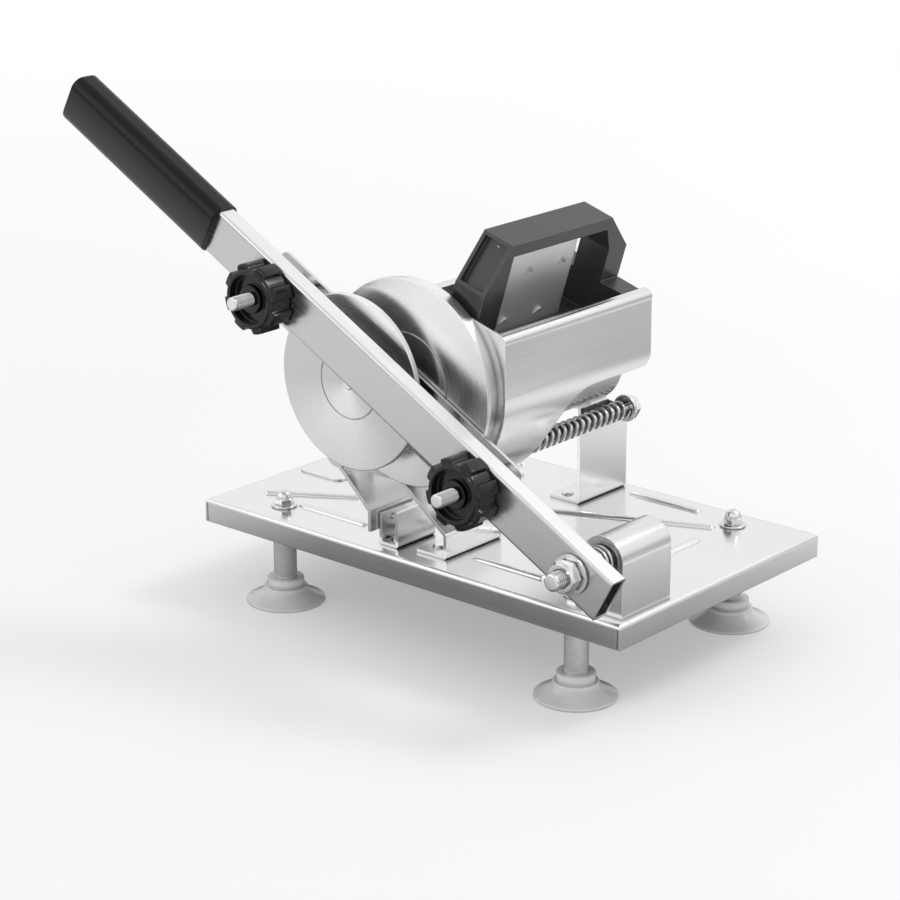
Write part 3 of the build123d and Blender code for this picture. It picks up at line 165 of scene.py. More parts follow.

# %% [markdown]
# ## Brushed sheet steel
# Brushed steel is a mirror with fine scratches in one direction. Seen from a step away the scratches
# blur the reflections and leave only a faint grain. Noise stretched a hundred times along the rolling
# direction makes it, and it moves the roughness and the tone together, as a scratch does. A second, wide
# noise stands for handling. Cut edges get a brighter colour, partly rubbed wear and partly a painted
# highlight; a bevel shader finds them where the rounded normal leans away from the flat one. Narrow gaps
# get painted shade, and an occlusion shader finds those by how much of the way out is blocked.

# %% The brushed finish
EDGE_WIDTH = 0.0005
# Cut edges are painted paler: partly rubbed wear, partly a painted highlight.
RUBBED_AND_HIGHLIGHT_TONE = 0.93
CREASE_SHADE_REACH = 0.006
CREASE_SHADE_TONE = 0.16
CREASE_SHADE_SHARE = 0.7
SCRATCH_LINES = 1500.0
SCRATCH_STRETCH = 110
HANDLING_SCALE = 14.0
LEVER_SLOPE = math.radians(28.45)
GRAIN_TURNS = {
    "x": (0, 0, 0),
    "y": (0, 0, math.pi / 2),
    "z": (0, math.pi / 2, 0),
    "lever": (0, -LEVER_SLOPE, 0),
}


def edge_mask(graph, width):
    """How near a point is to a sharp edge: 0 on a face, 1 at the edge. Also the softened normal."""
    rounded = graph.node("Bevel", {"Radius": width}, samples=4).outputs[0]
    flat = graph.node("NewGeometry").outputs["Normal"]
    lean = graph.node("VectorMath", {0: rounded, 1: flat}, operation="DOT_PRODUCT").outputs["Value"]
    return graph.spread(lean, 0.80, 0.99, 1.0, 0.0), rounded


def with_painted_crease_shade(graph, tone):
    """Darkens a colour in narrow gaps as painted shade, where little light arrives."""
    # Painted shade: where occlusion finds a narrow gap, the colour turns darker.
    open_share = graph.node("AmbientOcclusion", {"Distance": CREASE_SHADE_REACH}, samples=6).outputs["AO"]
    return graph.mix(graph.spread(open_share, 0.25, 0.85, CREASE_SHADE_SHARE, 0.0), tone, grey(CREASE_SHADE_TONE))


def brushed(name, along, tone, rough, painted_top_highlight=None, painted_under_shade=None):
    """Steel brushed along one axis: 'x', 'y', 'z', or the lever's own slant. A top may get a painted highlight and
    an underside painted shade.
    """
    material, graph = finish_graph(name)
    place = graph.node("TexCoord").outputs["Object"]
    turned = graph.node("Mapping", {"Vector": place, "Rotation": GRAIN_TURNS[along]}).outputs[0]
    scales = (SCRATCH_LINES / SCRATCH_STRETCH, SCRATCH_LINES, SCRATCH_LINES)
    stretched = graph.node("Mapping", {"Vector": turned, "Scale": scales}).outputs[0]
    scratch = graph.node("TexNoise", {"Vector": stretched, "Scale": 1.0, "Detail": 2.0}).outputs[0]
    handled = graph.node("TexNoise", {"Vector": place, "Scale": HANDLING_SCALE, "Detail": 2.0}).outputs[0]
    mask, rounded = edge_mask(graph, EDGE_WIDTH)
    both = graph.math("ADD", scratch, graph.math("MULTIPLY", handled, 0.8))
    body_rough = graph.spread(both, 0.6, 1.2, rough - 0.04, rough + 0.06)
    roughness = graph.math("SUBTRACT", body_rough, graph.math("MULTIPLY", mask, 0.05))
    sheet_tone = graph.mix(graph.spread(both, 0.6, 1.2, 0.0, 1.0), grey(tone - 0.03), grey(tone + 0.02))
    up = graph.node("SeparateXYZ", {0: graph.node("NewGeometry").outputs["Normal"]}).outputs["Z"]
    # Painted light: faces whose normal points up turn paler, and faces that point down turn darker.
    if painted_top_highlight:
        sheet_tone = graph.mix(graph.spread(up, 0.3, 0.8, 0.0, 1.0), sheet_tone, grey(painted_top_highlight))
    if painted_under_shade:
        sheet_tone = graph.mix(graph.spread(up, -0.75, -0.1, 1.0, 0.0), sheet_tone, grey(painted_under_shade))
    # Edges get a painted highlight, partly rubbed wear, and narrow gaps get painted shade.
    graph.feed(graph.shader, {
        "Base Color": with_painted_crease_shade(graph, graph.mix(mask, sheet_tone, grey(RUBBED_AND_HIGHLIGHT_TONE))),
        "Roughness": roughness, "Metallic": 1.0, "Normal": rounded,
    })
    return material


finishes = {
    "base_steel": brushed("base_steel", "x", tone=0.84, rough=0.20),
    "bracket_steel": brushed("bracket_steel", "z", tone=0.80, rough=0.20),
    "lever_steel": brushed("lever_steel", "lever", tone=0.62, rough=0.24, painted_top_highlight=0.90),
    "blade_steel": brushed("blade_steel", "lever", tone=0.82, rough=0.14),
    "trough_steel": brushed("trough_steel", "y", tone=0.82, rough=0.22),
    "shroud_steel": brushed("shroud_steel", "y", tone=0.80, rough=0.18, painted_under_shade=0.34),
    "pusher_steel": brushed("pusher_steel", "z", tone=0.94, rough=0.50),
}
print("brushed finishes:", sorted(finishes))

# %% [markdown]
# ## Turned discs
# The two discs were faced on a lathe, which leaves fine rings. Light runs across rings as bright spokes,
# the bow-tie glint of a pan's bottom. The shader's anisotropy makes it when it is told which way the
# rings run: at each point that is the cross product of the disc's axis and the line from its centre.
# A painted glint along one diameter makes the disc's colour brighter there and darker across it: the
# square of the cosine between the line from the centre and that diameter says by how much.

# %% The turned finish
DISC_TONE, DISC_ROUGH = 0.92, 0.26
PAINTED_SPOKE_SHADE = 0.26
RING_SCALE = 2200.0
RING_STRETCH = 0.7
GLINTS = {"mouth_disc": (0.50, 0.0, 0.87), "gauge_disc": (0.30, 0.0, 0.95)}


def turned_disc(name, centre, glint):
    """Steel with lathe rings round a centre, in a plane across Y, with a painted glint along one direction."""
    material, graph = finish_graph(name)
    place = graph.node("TexCoord").outputs["Object"]
    arm = graph.node("VectorMath", {0: place, 1: tuple(centre)}, operation="SUBTRACT").outputs[0]
    flat_arm = graph.node("VectorMath", {0: arm, 1: (1, 0, 1)}, operation="MULTIPLY").outputs[0]
    reach = graph.node("VectorMath", {0: flat_arm}, operation="LENGTH").outputs["Value"]
    noise = {"W": reach, "Scale": RING_SCALE, "Detail": 2.0}
    ring = graph.node("TexNoise", noise, noise_dimensions="1D").outputs[0]
    along_ring = graph.node("VectorMath", {0: flat_arm, 1: (0, 1, 0)}, operation="CROSS_PRODUCT").outputs[0]
    mask, rounded = edge_mask(graph, EDGE_WIDTH)
    # Painted glint: the colour is paler along the glint's diameter and darker across it.
    spoke = graph.node("VectorMath", {0: flat_arm}, operation="NORMALIZE").outputs[0]
    toward = graph.node("VectorMath", {0: spoke, 1: glint}, operation="DOT_PRODUCT").outputs["Value"]
    lit = graph.spread(graph.math("MULTIPLY", toward, toward), 0.1, 0.9, 0.0, 1.0)
    ring_share = graph.spread(ring, 0.3, 0.7, 0.0, 1.0)
    face_tone = graph.mix(ring_share, grey(DISC_TONE - 0.02), grey(DISC_TONE + 0.02))
    face_tone = graph.mix(lit, grey(DISC_TONE - PAINTED_SPOKE_SHADE), face_tone)
    # Edges get a painted highlight, partly rubbed wear, and narrow gaps get painted shade.
    graph.feed(graph.shader, {
        "Base Color": with_painted_crease_shade(graph, graph.mix(mask, face_tone, grey(RUBBED_AND_HIGHLIGHT_TONE))),
        "Roughness": graph.spread(ring, 0.3, 0.7, DISC_ROUGH - 0.03, DISC_ROUGH + 0.05),
        "Metallic": 1.0, "Normal": rounded, "Anisotropic": RING_STRETCH, "Tangent": along_ring,
    })
    return material


def middle(node):
    """The centre of a node's box."""
    low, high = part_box(node)
    return (low + high) / 2


disc_finishes = {node: turned_disc(node + "_turned", middle(node), glint) for node, glint in GLINTS.items()}
print("disc centres:", {node: tuple(round(v, 4) for v in middle(node)) for node in disc_finishes})

# %% [markdown]
# ## Plated fasteners, black plastic and pale rubber
# Nuts, bolts and springs are plated and nearly mirror bright. The bottom of a thread is painted dark as
# painted shade, and an attribute called groove marks it on the pieces made below. The grip, the knobs
# and the handle are moulded black plastic with a fine pebble, and their edges are painted paler, partly
# as wear and partly as a painted highlight; the grip also gets a painted highlight towards its lower edge.
# The suction cups are pale, glossy vinyl, a shade darker than the paper they stand on, with painted shade
# in their narrow gaps.

# %% The other finishes
PLATED_EDGE = 0.0001
PLATED_RUBBED_AND_HIGHLIGHT = 0.94
THREAD_SHADE_TONE = 0.10
MOULDED_EDGE = 0.0007
PEBBLE_SCALE = 2600.0
# Where the grip's painted highlight fades in, across the lever.
GRIP_HIGHLIGHT_FADE = (-0.008, 0.010)
VINYL_TONES = (0.70, 0.78)


def plated(name, tone=0.80, rough=0.12, metal=1.0):
    """Bright plating with faint spots. A metal under 1 stands for a plating that has gone dull."""
    material, graph = finish_graph(name)
    place = graph.node("TexCoord").outputs["Object"]
    spots = graph.node("TexNoise", {"Vector": place, "Scale": 320.0, "Detail": 3.0}).outputs[0]
    mask, rounded = edge_mask(graph, PLATED_EDGE)
    tint = graph.mix(graph.spread(spots, 0.35, 0.65, 0.0, 1.0), grey(tone - 0.05), grey(tone + 0.04))
    # Painted shade: the colour darkens with the depth of a thread's groove.
    groove = graph.node("Attribute", attribute_name="groove").outputs["Fac"]
    tint = graph.mix(graph.spread(groove, 0.2, 0.9, 0.0, 1.0), tint, grey(THREAD_SHADE_TONE))
    # Edges get a painted highlight, partly rubbed wear, and narrow gaps get painted shade.
    graph.feed(graph.shader, {
        "Base Color": with_painted_crease_shade(graph, graph.mix(mask, tint, grey(PLATED_RUBBED_AND_HIGHLIGHT))),
        "Roughness": graph.spread(spots, 0.3, 0.7, rough - 0.03, rough + 0.06),
        "Metallic": metal, "Normal": rounded,
    })
    return material


def moulded(name, tone, rough, gloss, edge_wear_and_highlight_tone=0.07, painted_grip_highlight=None):
    """Black plastic with edges painted paler, partly wear and partly a painted highlight. A tone for the lower
    side paints a highlight on the lever's grip, paler from its top down to its lower edge.
    """
    material, graph = finish_graph(name)
    place = graph.node("TexCoord").outputs["Object"]
    pebble = {"Vector": place, "Scale": PEBBLE_SCALE}
    grain = graph.node("TexVoronoi", pebble, feature="SMOOTH_F1").outputs[0]
    cloud = graph.node("TexNoise", {"Vector": place, "Scale": 45.0, "Detail": 3.0}).outputs[0]
    mask, rounded = edge_mask(graph, MOULDED_EDGE)
    bump = graph.node("Bump", {"Height": grain, "Normal": rounded, "Strength": 0.08, "Distance": 0.0001})
    # Edges painted paler: partly wear, partly a painted highlight.
    worn_and_highlit = graph.math("MULTIPLY", mask, graph.spread(cloud, 0.35, 0.6, 0.3, 0.9))
    skin = graph.mix(graph.spread(cloud, 0.3, 0.7, 0.0, 1.0), grey(tone), grey(tone * 1.6))
    # Painted highlight: the grip's colour grows paler from its top down to its lower edge.
    if painted_grip_highlight:
        across = (math.sin(LEVER_SLOPE), 0.0, math.cos(LEVER_SLOPE))
        ends = {0: place, 1: tuple(middle("lever_grip"))}
        arm = graph.node("VectorMath", ends, operation="SUBTRACT").outputs[0]
        rise = graph.node("VectorMath", {0: arm, 1: across}, operation="DOT_PRODUCT").outputs["Value"]
        skin = graph.mix(graph.spread(rise, *GRIP_HIGHLIGHT_FADE, 1.0, 0.0), skin, grey(painted_grip_highlight))
    graph.feed(graph.shader, {
        "Base Color": graph.mix(worn_and_highlit, skin, grey(edge_wear_and_highlight_tone)),
        "Roughness": graph.spread(cloud, 0.3, 0.7, rough - 0.05, rough + 0.06),
        "Normal": bump.outputs[0], "Specular IOR Level": gloss,
    })
    return material


def vinyl(name):
    """Pale glossy plastic, a little cloudy."""
    material, graph = finish_graph(name)
    place = graph.node("TexCoord").outputs["Object"]
    cloud = graph.node("TexNoise", {"Vector": place, "Scale": 60.0, "Detail": 3.0}).outputs[0]
    dark, pale = (grey(tone) for tone in VINYL_TONES)
    # Narrow gaps on the cups get painted shade.
    graph.feed(graph.shader, {
        "Base Color": with_painted_crease_shade(graph, graph.mix(graph.spread(cloud, 0.3, 0.7, 0.0, 1.0), dark, pale)),
        "Roughness": graph.spread(cloud, 0.3, 0.7, 0.14, 0.24),
    })
    return material


finishes.update({
    "leg_steel": plated("leg_steel", tone=0.94, rough=0.10, metal=0.6),
    "fastener_steel": plated("fastener_steel"),
    "spring_steel": plated("spring_steel", tone=0.60, rough=0.16),
    "grip_plastic": moulded(
        "grip_plastic", tone=0.003, rough=0.26, gloss=0.25, edge_wear_and_highlight_tone=0.03, painted_grip_highlight=0.05
    ),
    "knob_plastic": moulded("knob_plastic", tone=0.004, rough=0.15, gloss=0.45),
    "handle_plastic": moulded("handle_plastic", tone=0.026, rough=0.30, gloss=0.5, edge_wear_and_highlight_tone=0.30),
    "cup_rubber": vinyl("cup_rubber"),
})
slot_of = {part["node"]: part["material_slot"] for part in frame["record"]["subparts"]}


def dress(piece, material):
    """Gives an object one material in place of all it had."""
    piece.data.materials.clear()
    piece.data.materials.append(material)


for node, piece in nodes.items():
    dress(piece, disc_finishes.get(node) or finishes[slot_of[node]])
print("dressed:", len(nodes), "nodes with", len(bpy.data.materials), "materials")

# %% [markdown]
# ## Spinning a profile
# Knobs, nuts, bolts and rubber feet are all made by turning, so one function makes them. A profile is a
# list of points, each a radius and a height along the axis, and the function carries it round a circle.
# Real corners are never sharp, so a second function rounds a profile's corners with short curves. A third
# step may cut the radius by angle, which turns a round bar into a hexagon, a screw thread or a star.

# %% Surfaces of revolution
MM = 0.001
THREAD_DEPTH = 0.7
SHARP_ANGLE = math.radians(35)


def soften(corners, cuts, steps=5):
    """
    Rounds a profile's corners. Corner C becomes (1-t)^2 A + 2t(1-t) C + t^2 B for t from 0 to 1, where A and
    B lie a cut's length before and after it. A cut of 0 keeps the corner.
    """
    corners = np.array(corners, float)
    t = np.linspace(0, 1, steps)[:, None]
    rows = []
    for number, (corner, cut) in enumerate(zip(corners, cuts)):
        before, after = (
            corner + (other - corner) * min(cut / np.hypot(*(other - corner)), 0.49)
            for other in (corners[number - 1], corners[(number + 1) % len(corners)])
        )
        rows.append((1 - t) ** 2 * before + 2 * t * (1 - t) * corner + t**2 * after if cut else corner[None])
    return np.vstack(rows)


def refined(profile, low, high, step):
    """The profile with extra rows between two heights, so that a thread has points to bend."""
    profile = np.asarray(profile, float)
    first = int(np.argmax(profile[:, 1] >= low))
    levels = np.arange(max(low, profile[first, 1]), high, step)
    inside = np.stack([np.full(len(levels), profile[first, 0]), levels], 1)
    rest = profile[first + 1:]
    return np.vstack([profile[:first], inside, rest[rest[:, 1] > levels[-1]]])


def spun(profile, shapes=(), threads=(), steps=96):
    """
    Turns a profile of (radius, height) about Z: x = r cos(turn), y = r sin(turn), z = height, where each
    shape(r, height, turn) in turn may cut r, and then each thread, whose depth is kept as the groove's
    share. A profile that begins on the axis ends on it too and gets a point at each pole. Any other
    profile is a closed loop, such as a nut's.
    """
    radius, height = np.asarray(profile, float).T
    with_poles = radius[0] == 0
    ends = height[[0, -1]]
    if with_poles:
        radius, height = radius[1:-1], height[1:-1]
    turn = np.linspace(0, 2 * math.pi, steps, endpoint=False)[None]
    around, along = radius[:, None] + 0 * turn, height[:, None] + 0 * turn
    for shape in shapes:
        around = shape(around, along, turn)
    uncut = around
    for shape in threads:
        around = shape(around, along, turn)
    groove = np.append(((uncut - around) / THREAD_DEPTH).ravel(), [0.0, 0.0] if with_poles else [])
    points = np.stack([around * np.cos(turn), around * np.sin(turn), along], -1).reshape(-1, 3)
    index = np.arange(len(radius) * steps).reshape(-1, steps)
    if not with_poles:
        index = np.vstack([index, index[:1]])
    after = np.roll(index, -1, 1)
    quads = np.stack([index[:-1], after[:-1], after[1:], index[1:]], -1).reshape(-1, 4).tolist()
    if with_poles:
        bottom, top = len(points), len(points) + 1
        points = np.vstack([points, [[0, 0, ends[0]], [0, 0, ends[1]]]])
        quads += [[bottom, b, a] for a, b in zip(index[0].tolist(), after[0].tolist())]
        quads += [[top, a, b] for a, b in zip(index[-1].tolist(), after[-1].tolist())]
    return points, quads, groove


def hexagon(flats, low, high):
    """Cuts to a hexagon between two heights: the limit is flats/2 over the cosine from the nearest flat."""

    def cut(radius, height, turn):
        limit = flats / 2 / np.cos(np.mod(turn, math.pi / 3) - math.pi / 6)
        return np.where((height >= low) & (height <= high), np.minimum(radius, limit), radius)

    return cut


def thread(crest, pitch, low, high):
    """Cuts a V groove that climbs one pitch a turn: |2 frac(height/pitch - turn/2pi) - 1| of the depth."""

    def cut(radius, height, turn):
        ridge = np.abs(2 * np.mod(height / pitch - turn / (2 * math.pi), 1.0) - 1)
        fade = np.clip((height - low) / pitch, 0, 1) * np.clip((high - height) / pitch, 0, 1)
        return np.minimum(radius, np.where(fade > 0, crest - THREAD_DEPTH * ridge * fade, radius))

    return cut


def standing(points):
    """An axis along Z, as the feet have."""
    return points


def lying(points):
    """The Z axis turned to +Y: (x, y, z) becomes (x, z, -y)."""
    return np.stack([points[:, 0], points[:, 2], -points[:, 1]], 1)


def on_lever(points):
    """Laid along +Y and then turned with the lever's slope, so that hexagons sit square to it."""
    x, y, z = lying(points).T
    cos, sin = math.cos(LEVER_SLOPE), math.sin(LEVER_SLOPE)
    return np.stack([x * cos + z * sin, y, z * cos - x * sin], 1)


def build(name, body, node, material, spins, laid, places):
    """One object from copies of some spun pieces, in millimetres, laid some way at places in metres."""
    corners, faces, grooves, count = [], [], [], 0
    for place in places:
        for points, polygons, groove in spins:
            grooves.append(groove)
            corners.append(laid(points) * MM + np.array(place))
            faces += [[corner + count for corner in polygon] for polygon in polygons]
            count += len(points)
    mesh = bpy.data.meshes.new(name)
    mesh.from_pydata(np.vstack(corners).tolist(), [], faces)
    mesh.attributes.new("groove", "FLOAT", "POINT").data.foreach_set("value", np.concatenate(grooves))
    mesh.shade_smooth()
    mesh.set_sharp_from_angle(angle=SHARP_ANGLE)
    piece = bpy.data.objects.new(name, mesh)
    bpy.context.scene.collection.objects.link(piece)
    dress(piece, material)
    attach(piece, body)
    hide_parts(node)
    print(name, "made of", len(faces), "faces")


print("turning functions ready")

# %% [markdown]
# ## Suction feet and dome nuts
# A foot is one profile from its hollow's middle, round the thin lip, up the flare, over a ring and a
# groove to the collar, and down into the hole for the stud. The nut above the base is a flange, a
# hexagon with trimmed corners and a round cap, closed over the stud's end.

# %% Feet and dome nuts
STUD_BORE = 3.02
CUP_CORNERS = [
    (0, 2.8), (8, 2.7), (15, 1.9), (20.6, 0.5), (21.4, 0), (23.5, 0), (23.5, 1.5), (19.6, 3.3), (15.6, 5.6),
    (13.0, 8.0), (13.2, 8.6), (12.6, 9.8), (10.7, 10.0), (10.7, 10.9), (11.0, 11.3), (11.0, 15.0),
    (STUD_BORE, 15.0), (STUD_BORE, 7.0), (0, 7.0),
]
CUP_CUTS = [0, 3, 3, 0.4, 0.4, 0.9, 0.8, 2.0, 2.0, 0.8, 0.4, 0.5, 0.3, 0.3, 0.3, 0.8, 0.3, 0, 0]
cup = spun(soften(CUP_CORNERS, CUP_CUTS), steps=128)
for number in range(1, 5):
    node = "suction_cup_%d" % number
    low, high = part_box(node)
    foot_place = ((low[0] + high[0]) / 2, (low[1] + high[1]) / 2, low[2])
    build("foot_%d" % number, "base", node, finishes["cup_rubber"], [cup], standing, [foot_place])

CAP_RADIUS, CAP_BASE = 4.7, 5.4
FLANGE_RADIUS = 7.5
DOME_NUT_FLATS = 10.0
cap_turns = np.linspace(0, math.pi / 2, 14)[1:-1]
cap_rows = [(CAP_RADIUS * math.cos(t), CAP_BASE + CAP_RADIUS * math.sin(t)) for t in cap_turns]
nut_body = soften(
    [
        (0, CAP_BASE), (STUD_BORE, CAP_BASE), (STUD_BORE, 0), (FLANGE_RADIUS, 0), (FLANGE_RADIUS, 1.4),
        (5.8, 1.4), (5.8, 4.6), (4.9, CAP_BASE), (CAP_RADIUS, CAP_BASE),
    ],
    [0, 0, 0.2, 0.4, 0.5, 0.2, 0.3, 0, 0],
)
cap_top = [(0, CAP_BASE + CAP_RADIUS)]
dome_nut = spun(np.vstack([nut_body, cap_rows, cap_top]), [hexagon(DOME_NUT_FLATS, 1.5, CAP_BASE)])
nuts_low, nuts_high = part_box("dome_nuts")
reach = FLANGE_RADIUS * MM
nut_places = [
    (x, y, nuts_low[2])
    for x in (nuts_low[0] + reach, nuts_high[0] - reach)
    for y in (nuts_low[1] + reach, nuts_high[1] - reach)
]
build("flanged_dome_nuts", "base", "dome_nuts", finishes["fastener_steel"], [dome_nut], standing, nut_places)

# %% [markdown]
# ## Bolts, nuts and the screw
# Every bolt is measured from its front tip. Its shank carries a thread where it shows and its head is a
# hexagon whose corners are trimmed by a cone, as a rolled bolt's are. The nuts are closed loops with a
# bore, and both their faces are trimmed in the same way.

# %% The threaded fasteners
M8, M8_PITCH = 4.0, 1.25
M10, M10_PITCH = 5.0, 1.5
BLADE_BOLT_FLATS, BLADE_BOLT_HEAD, BLADE_BOLT_END = 11.5, 58.3, 62.3
PIVOT_FLATS, PIVOT_HEAD, PIVOT_END = 16.0, 46.0, 52.0
PIVOT_NUT_LENGTH = 8.0


def nut_profile(bore, flats, length, trim=0.16):
    """A nut's loop, from the bore's front edge round the outside and back through the bore."""
    corner, face = flats / 2 / math.cos(math.pi / 6) + 0.02, flats / 2 * 0.96
    rise = length * trim
    outline = [
        (bore, 0.4), (bore + 0.4, 0), (face, 0), (corner, rise), (corner, length - rise), (face, length),
        (bore + 0.4, length), (bore, length - 0.4),
    ]
    return soften(outline, [0, 0, 0.3, 0.2, 0.2, 0.3, 0, 0])


def bolt_profile(radius, tip, head_at, flats, end):
    """A bolt's profile, from a rounded tip along the shank to a head with trimmed corners."""
    corner, face = flats / 2 / math.cos(math.pi / 6) + 0.02, flats / 2 * 0.95
    outline = [
        (0, 0), (radius - tip, 0), (radius, tip), (radius, head_at), (corner, head_at),
        (corner, end - 0.9), (face, end), (0, end),
    ]
    return soften(outline, [0, tip * 0.5, tip * 0.4, 0, 0.3, 0.2, 0.4, 0])


def place_of(joint, node):
    """The joint's axis, at the front of a node."""
    x, _, z = joints[joint]["pos_m"]
    return (x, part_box(node)[0][1], z)


steel = finishes["fastener_steel"]
blade_outline = bolt_profile(M8, 0.8, BLADE_BOLT_HEAD, BLADE_BOLT_FLATS, BLADE_BOLT_END)
blade_bolt = spun(
    refined(blade_outline, 1.0, 16.0, M8_PITCH / 10),
    [hexagon(BLADE_BOLT_FLATS, BLADE_BOLT_HEAD, BLADE_BOLT_END)],
    [thread(M8, M8_PITCH, 0.4, 16.0)],
    steps=72,
)
bolt_places = [place_of(joint, "blade_bolts") for joint in ("knob_left_turn", "knob_right_turn")]
build("threaded_blade_bolts", "lever", "blade_bolts", steel, [blade_bolt], on_lever, bolt_places)

pivot_outline = bolt_profile(M10, 1.0, PIVOT_HEAD, PIVOT_FLATS, PIVOT_END)
pivot_bolt = spun(
    refined(pivot_outline, 1.2, 17.0, M10_PITCH / 10),
    [hexagon(PIVOT_FLATS, PIVOT_HEAD, PIVOT_END)],
    [thread(M10, M10_PITCH, 0.8, 17.0)],
    steps=84,
)
bolt_place = place_of("lever_pivot", "pivot_bolt")
build("threaded_pivot_bolt", "base", "pivot_bolt", steel, [pivot_bolt], lying, [bolt_place])
pivot_nut = spun(
    nut_profile(M10, PIVOT_FLATS, PIVOT_NUT_LENGTH, trim=0.2), [hexagon(PIVOT_FLATS, 0.0, PIVOT_NUT_LENGTH)]
)
nut_place = place_of("lever_pivot", "pivot_nut")
build("trimmed_pivot_nut", "base", "pivot_nut", steel, [pivot_nut], lying, [nut_place])
pivot_washer = spun(soften(
    [(M10, 0), (11.0, 0), (11.0, 0.7), (10.5, 0.8), (11.0, 0.9), (11.0, 1.6), (M10, 1.6)],
    [0.15, 0.3, 0.1, 0.05, 0.1, 0.3, 0.15],
))
washer_place = place_of("lever_pivot", "pivot_washer")
build("paired_pivot_washers", "base", "pivot_washer", steel, [pivot_washer], lying, [washer_place])
print("bolts ready")

# %% [markdown]
# ## The star knobs
# A knob is a closed loop too: bore, sunken boss, recess, rim and skirt. Its eight lobes come from the
# cosine of eight times the angle, sharpened by a smooth step, and the skirt's points are drawn in by
# more the further out they are, so that the rounded edge stays round in the hollows.

# %% Star knobs
KNOB_TIP, KNOB_ROOT, KNOB_RIM, LOBES = 20.15, 17.4, 16.2, 8
KNOB_BORE = 4.06


def lobed(radius, height, turn):
    """Draws the skirt in by (tip - root) (1 - s) q, with s a smooth step of cos 8 turn and q 0 at the rim."""
    wave = np.clip((np.cos(LOBES * turn) + 0.42) / 0.56, 0, 1)
    smooth = wave * wave * (3 - 2 * wave)
    share = np.clip((radius - KNOB_RIM) / (KNOB_TIP - KNOB_RIM), 0, 1)
    return radius - (KNOB_TIP - KNOB_ROOT) * (1 - smooth) * share


KNOB_CORNERS = [
    (KNOB_BORE, 1.5), (8.0, 1.5), (8.0, 5.0), (14.0, 5.0), (14.0, 0), (KNOB_RIM, 0), (KNOB_RIM + 0.3, 1.2),
    (KNOB_TIP, 1.7), (KNOB_TIP, 16.0), (KNOB_BORE, 16.0),
]
KNOB_CUTS = [0.2, 0.7, 0.5, 0.7, 0.6, 0.8, 0.4, 1.6, 1.2, 0.3]
star = spun(soften(KNOB_CORNERS, KNOB_CUTS, steps=7), [lobed], steps=320)
for node in ("knob_left", "knob_right"):
    knob_place = place_of(node + "_turn", node)
    build("star_" + node, node, node, finishes["knob_plastic"], [star], on_lever, [knob_place])

# %% [markdown]
# ## The adjuster
# The screw that moves the gauge disc is threaded in front, where the link rides on it, and is plain where
# the spring lies round it. A collar bears on the ear in front of the spring. The nut at the rear is fixed
# to the screw and turns it.

# %% Screw, washer and nut
COLLAR_RADIUS, COLLAR_FRONT, COLLAR_BACK = 5.9, 28.7, 32.7
SCREW_STEP, SCREW_END = 146.5, 150.0
ADJUST_NUT_FLATS, ADJUST_NUT_LENGTH = 13.0, 5.5
screw_outline = soften(
    [
        (0, 0), (3.1, 0), (M8, 0.9), (M8, COLLAR_FRONT), (COLLAR_RADIUS, COLLAR_FRONT),
        (COLLAR_RADIUS, COLLAR_BACK), (M8, COLLAR_BACK), (M8, SCREW_STEP), (3.2, SCREW_STEP), (3.2, 149.2),
        (2.4, SCREW_END), (0, SCREW_END),
    ],
    [0, 0.3, 0.3, 0, 0.4, 0.4, 0, 0, 0, 0.3, 0.3, 0],
)
screw = spun(
    refined(screw_outline, 1.0, 28.0, M8_PITCH / 8), threads=[thread(M8, M8_PITCH, 0.6, 27.8)], steps=64
)
screw_place = place_of("adjuster_turn", "adjuster_screw")
build("threaded_adjuster_screw", "adjuster", "adjuster_screw", steel, [screw], lying, [screw_place])
washer = spun(soften([(M8, 0), (8.2, 0), (8.2, 2.0), (M8, 2.0)], [0.2, 0.5, 0.5, 0.2]))
washer_place = place_of("adjuster_turn", "adjuster_washer")
build("soft_washer", "adjuster", "adjuster_washer", steel, [washer], lying, [washer_place])
adjust_nut = spun(
    nut_profile(M8, ADJUST_NUT_FLATS, ADJUST_NUT_LENGTH), [hexagon(ADJUST_NUT_FLATS, 0.0, ADJUST_NUT_LENGTH)]
)
nut_place = place_of("adjuster_turn", "adjuster_nut")
build("trimmed_adjuster_nut", "adjuster", "adjuster_nut", steel, [adjust_nut], lying, [nut_place])

# %% [markdown]
# ## Floor, sky and lamps
# The picture has a white ground with soft shadows, but its steel shows grey: a photographer hangs dark
# cards round polished things, because a mirror in a white room is only white. Here the sky and the floor
# do the same. A camera ray sees white. A ray that reflects sees a sky that grows brighter with its
# height, and a floor with painted shade, darker near the slicer, and bright further off. Low faces
# reflect the near floor and turn grey, and high ones reflect the bright part. The paper also glows a
# little, more further off, as painted light that keeps the shadow on it pale.

# %% The studio
FLOOR_RADIUS, FLOOR_CORNERS = 3.0, 96
PAPER_TONES = (0.61, 0.63)
GLOW_REACH, GLOW = (0.5, 2.6), (0.32, 0.52)
SKY_TONE = 0.80
SKY_BANDS = [(0.00, 0.40), (0.50, 0.46), (0.54, 0.66), (0.60, 0.90), (0.66, 1.00), (0.84, 0.96), (1.00, 0.70)]
FRONT_FLOOR = [(0.10, 0.14), (0.20, 0.20), (0.28, 0.62), (0.38, 0.70), (0.55, 0.92), (1.00, 0.94)]
REAR_FLOOR = [
    (0.12, 0.14), (0.24, 0.26), (0.34, 0.56), (0.42, 0.94), (0.50, 0.90), (0.62, 0.46), (1.00, 0.56)
]
REAR_SIDE = (0.70, 0.70, 0.0)


def disc_mesh(name, radius, count):
    """A flat disc as one polygon: its corners are the cosine and sine of evenly spaced angles."""
    turn = np.linspace(0, 2 * math.pi, count, endpoint=False)
    corners = np.stack([radius * np.cos(turn), radius * np.sin(turn), np.zeros(count)], 1)
    mesh = bpy.data.meshes.new(name)
    mesh.from_pydata(corners.tolist(), [], [list(range(count))])
    return mesh


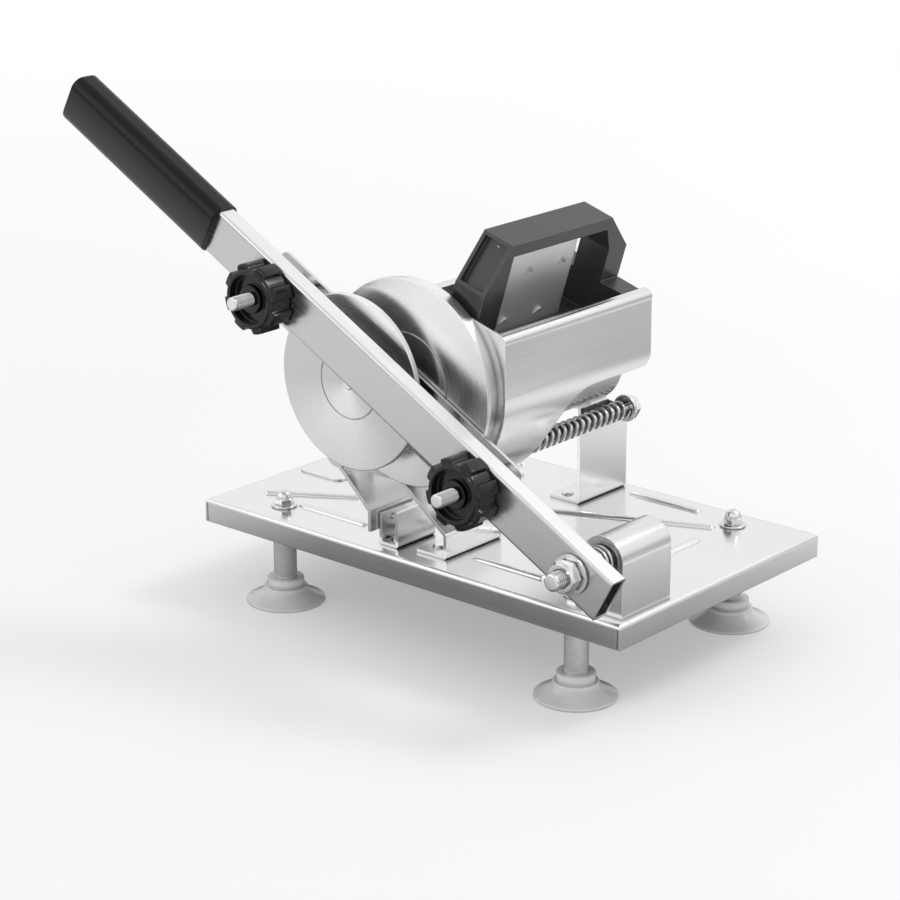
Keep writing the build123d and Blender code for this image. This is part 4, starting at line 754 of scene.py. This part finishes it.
floor = bpy.data.objects.new("floor", disc_mesh("floor", FLOOR_RADIUS, FLOOR_CORNERS))
bpy.context.scene.collection.objects.link(floor)
floor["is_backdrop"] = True
paper_material, paper = finish_graph("paper_floor")
paper_place = paper.node("TexCoord").outputs["Object"]
paper_noise = paper.node("TexNoise", {"Vector": paper_place, "Scale": 3.0}).outputs[0]
away = paper.node("VectorMath", {0: paper_place}, operation="LENGTH").outputs["Value"]
aside = paper.node("VectorMath", {0: paper_place, 1: REAR_SIDE}, operation="DOT_PRODUCT").outputs["Value"]
# Painted shade for reflecting rays: the floor is darker near the slicer, with its own tones on each side.
front_tones, rear_tones = paper.ramp(away, FRONT_FLOOR), paper.ramp(away, REAR_FLOOR)
shaded_paper = paper.mix(paper.spread(aside, -0.1, 0.2, 0.0, 1.0), front_tones, rear_tones)
plain_paper = paper.mix(paper_noise, grey(PAPER_TONES[0]), grey(PAPER_TONES[1]))
glossy_ray = paper.node("LightPath").outputs["Is Glossy Ray"]
unreflected = paper.math("SUBTRACT", 1.0, glossy_ray)
# Painted light: the paper glows more further off, to keep its shadow pale.
glow = paper.math("MULTIPLY", paper.spread(away, *GLOW_REACH, *GLOW), unreflected)
paper.feed(paper.shader, {
    "Base Color": paper.mix(glossy_ray, plain_paper, shaded_paper), "Roughness": 0.9,
    "Specular IOR Level": 0.0, "Emission Color": grey(1.0), "Emission Strength": glow,
})
dress(floor, paper_material)

studio = bpy.data.worlds.new("studio")
bpy.context.scene.world = studio
sky = Graph(studio, "Background")
height = sky.node("SeparateXYZ", {0: sky.node("TexCoord").outputs["Generated"]}).outputs["Z"]
bands = sky.ramp(sky.spread(height, -1.0, 1.0, 0.0, 1.0), SKY_BANDS)
rays = sky.node("LightPath").outputs
seen = sky.mix(rays["Is Glossy Ray"], grey(SKY_TONE), bands)
sky.feed(sky.shader, {"Color": sky.mix(rays["Is Camera Ray"], seen, grey(1.0)), "Strength": 1.0})


def lamp(name, place, target, size, power):
    """A square soft lamp that faces a target."""
    data = bpy.data.lights.new(name, "AREA")
    data.size, data.energy = size, power
    made = bpy.data.objects.new(name, data)
    made.location = place
    made.rotation_mode = "QUATERNION"
    made.rotation_quaternion = (Vector(target) - Vector(place)).to_track_quat("-Z", "Y")
    bpy.context.scene.collection.objects.link(made)


TARGET = (0.0, 0.0, 0.12)
lamp("key_lamp", place=(1.0, 1.1, 1.9), target=TARGET, size=0.8, power=15.0)
lamp("fill_lamp", place=(-0.9, -1.5, 1.2), target=TARGET, size=1.2, power=3.0)
print("studio ready")

# %% [markdown]
# ## Finish
# The boxes of the CAD model and of the dressed model are written side by side, to see at once that the
# looks haven't changed the size.

# %% Write both boxes and finish
visual_low, visual_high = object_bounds()
cad_size, visual_size = cad_high - cad_low, visual_high - visual_low
print("CAD box", [round(v, 4) for v in cad_size], "shown", [round(v, 4) for v in visual_size])
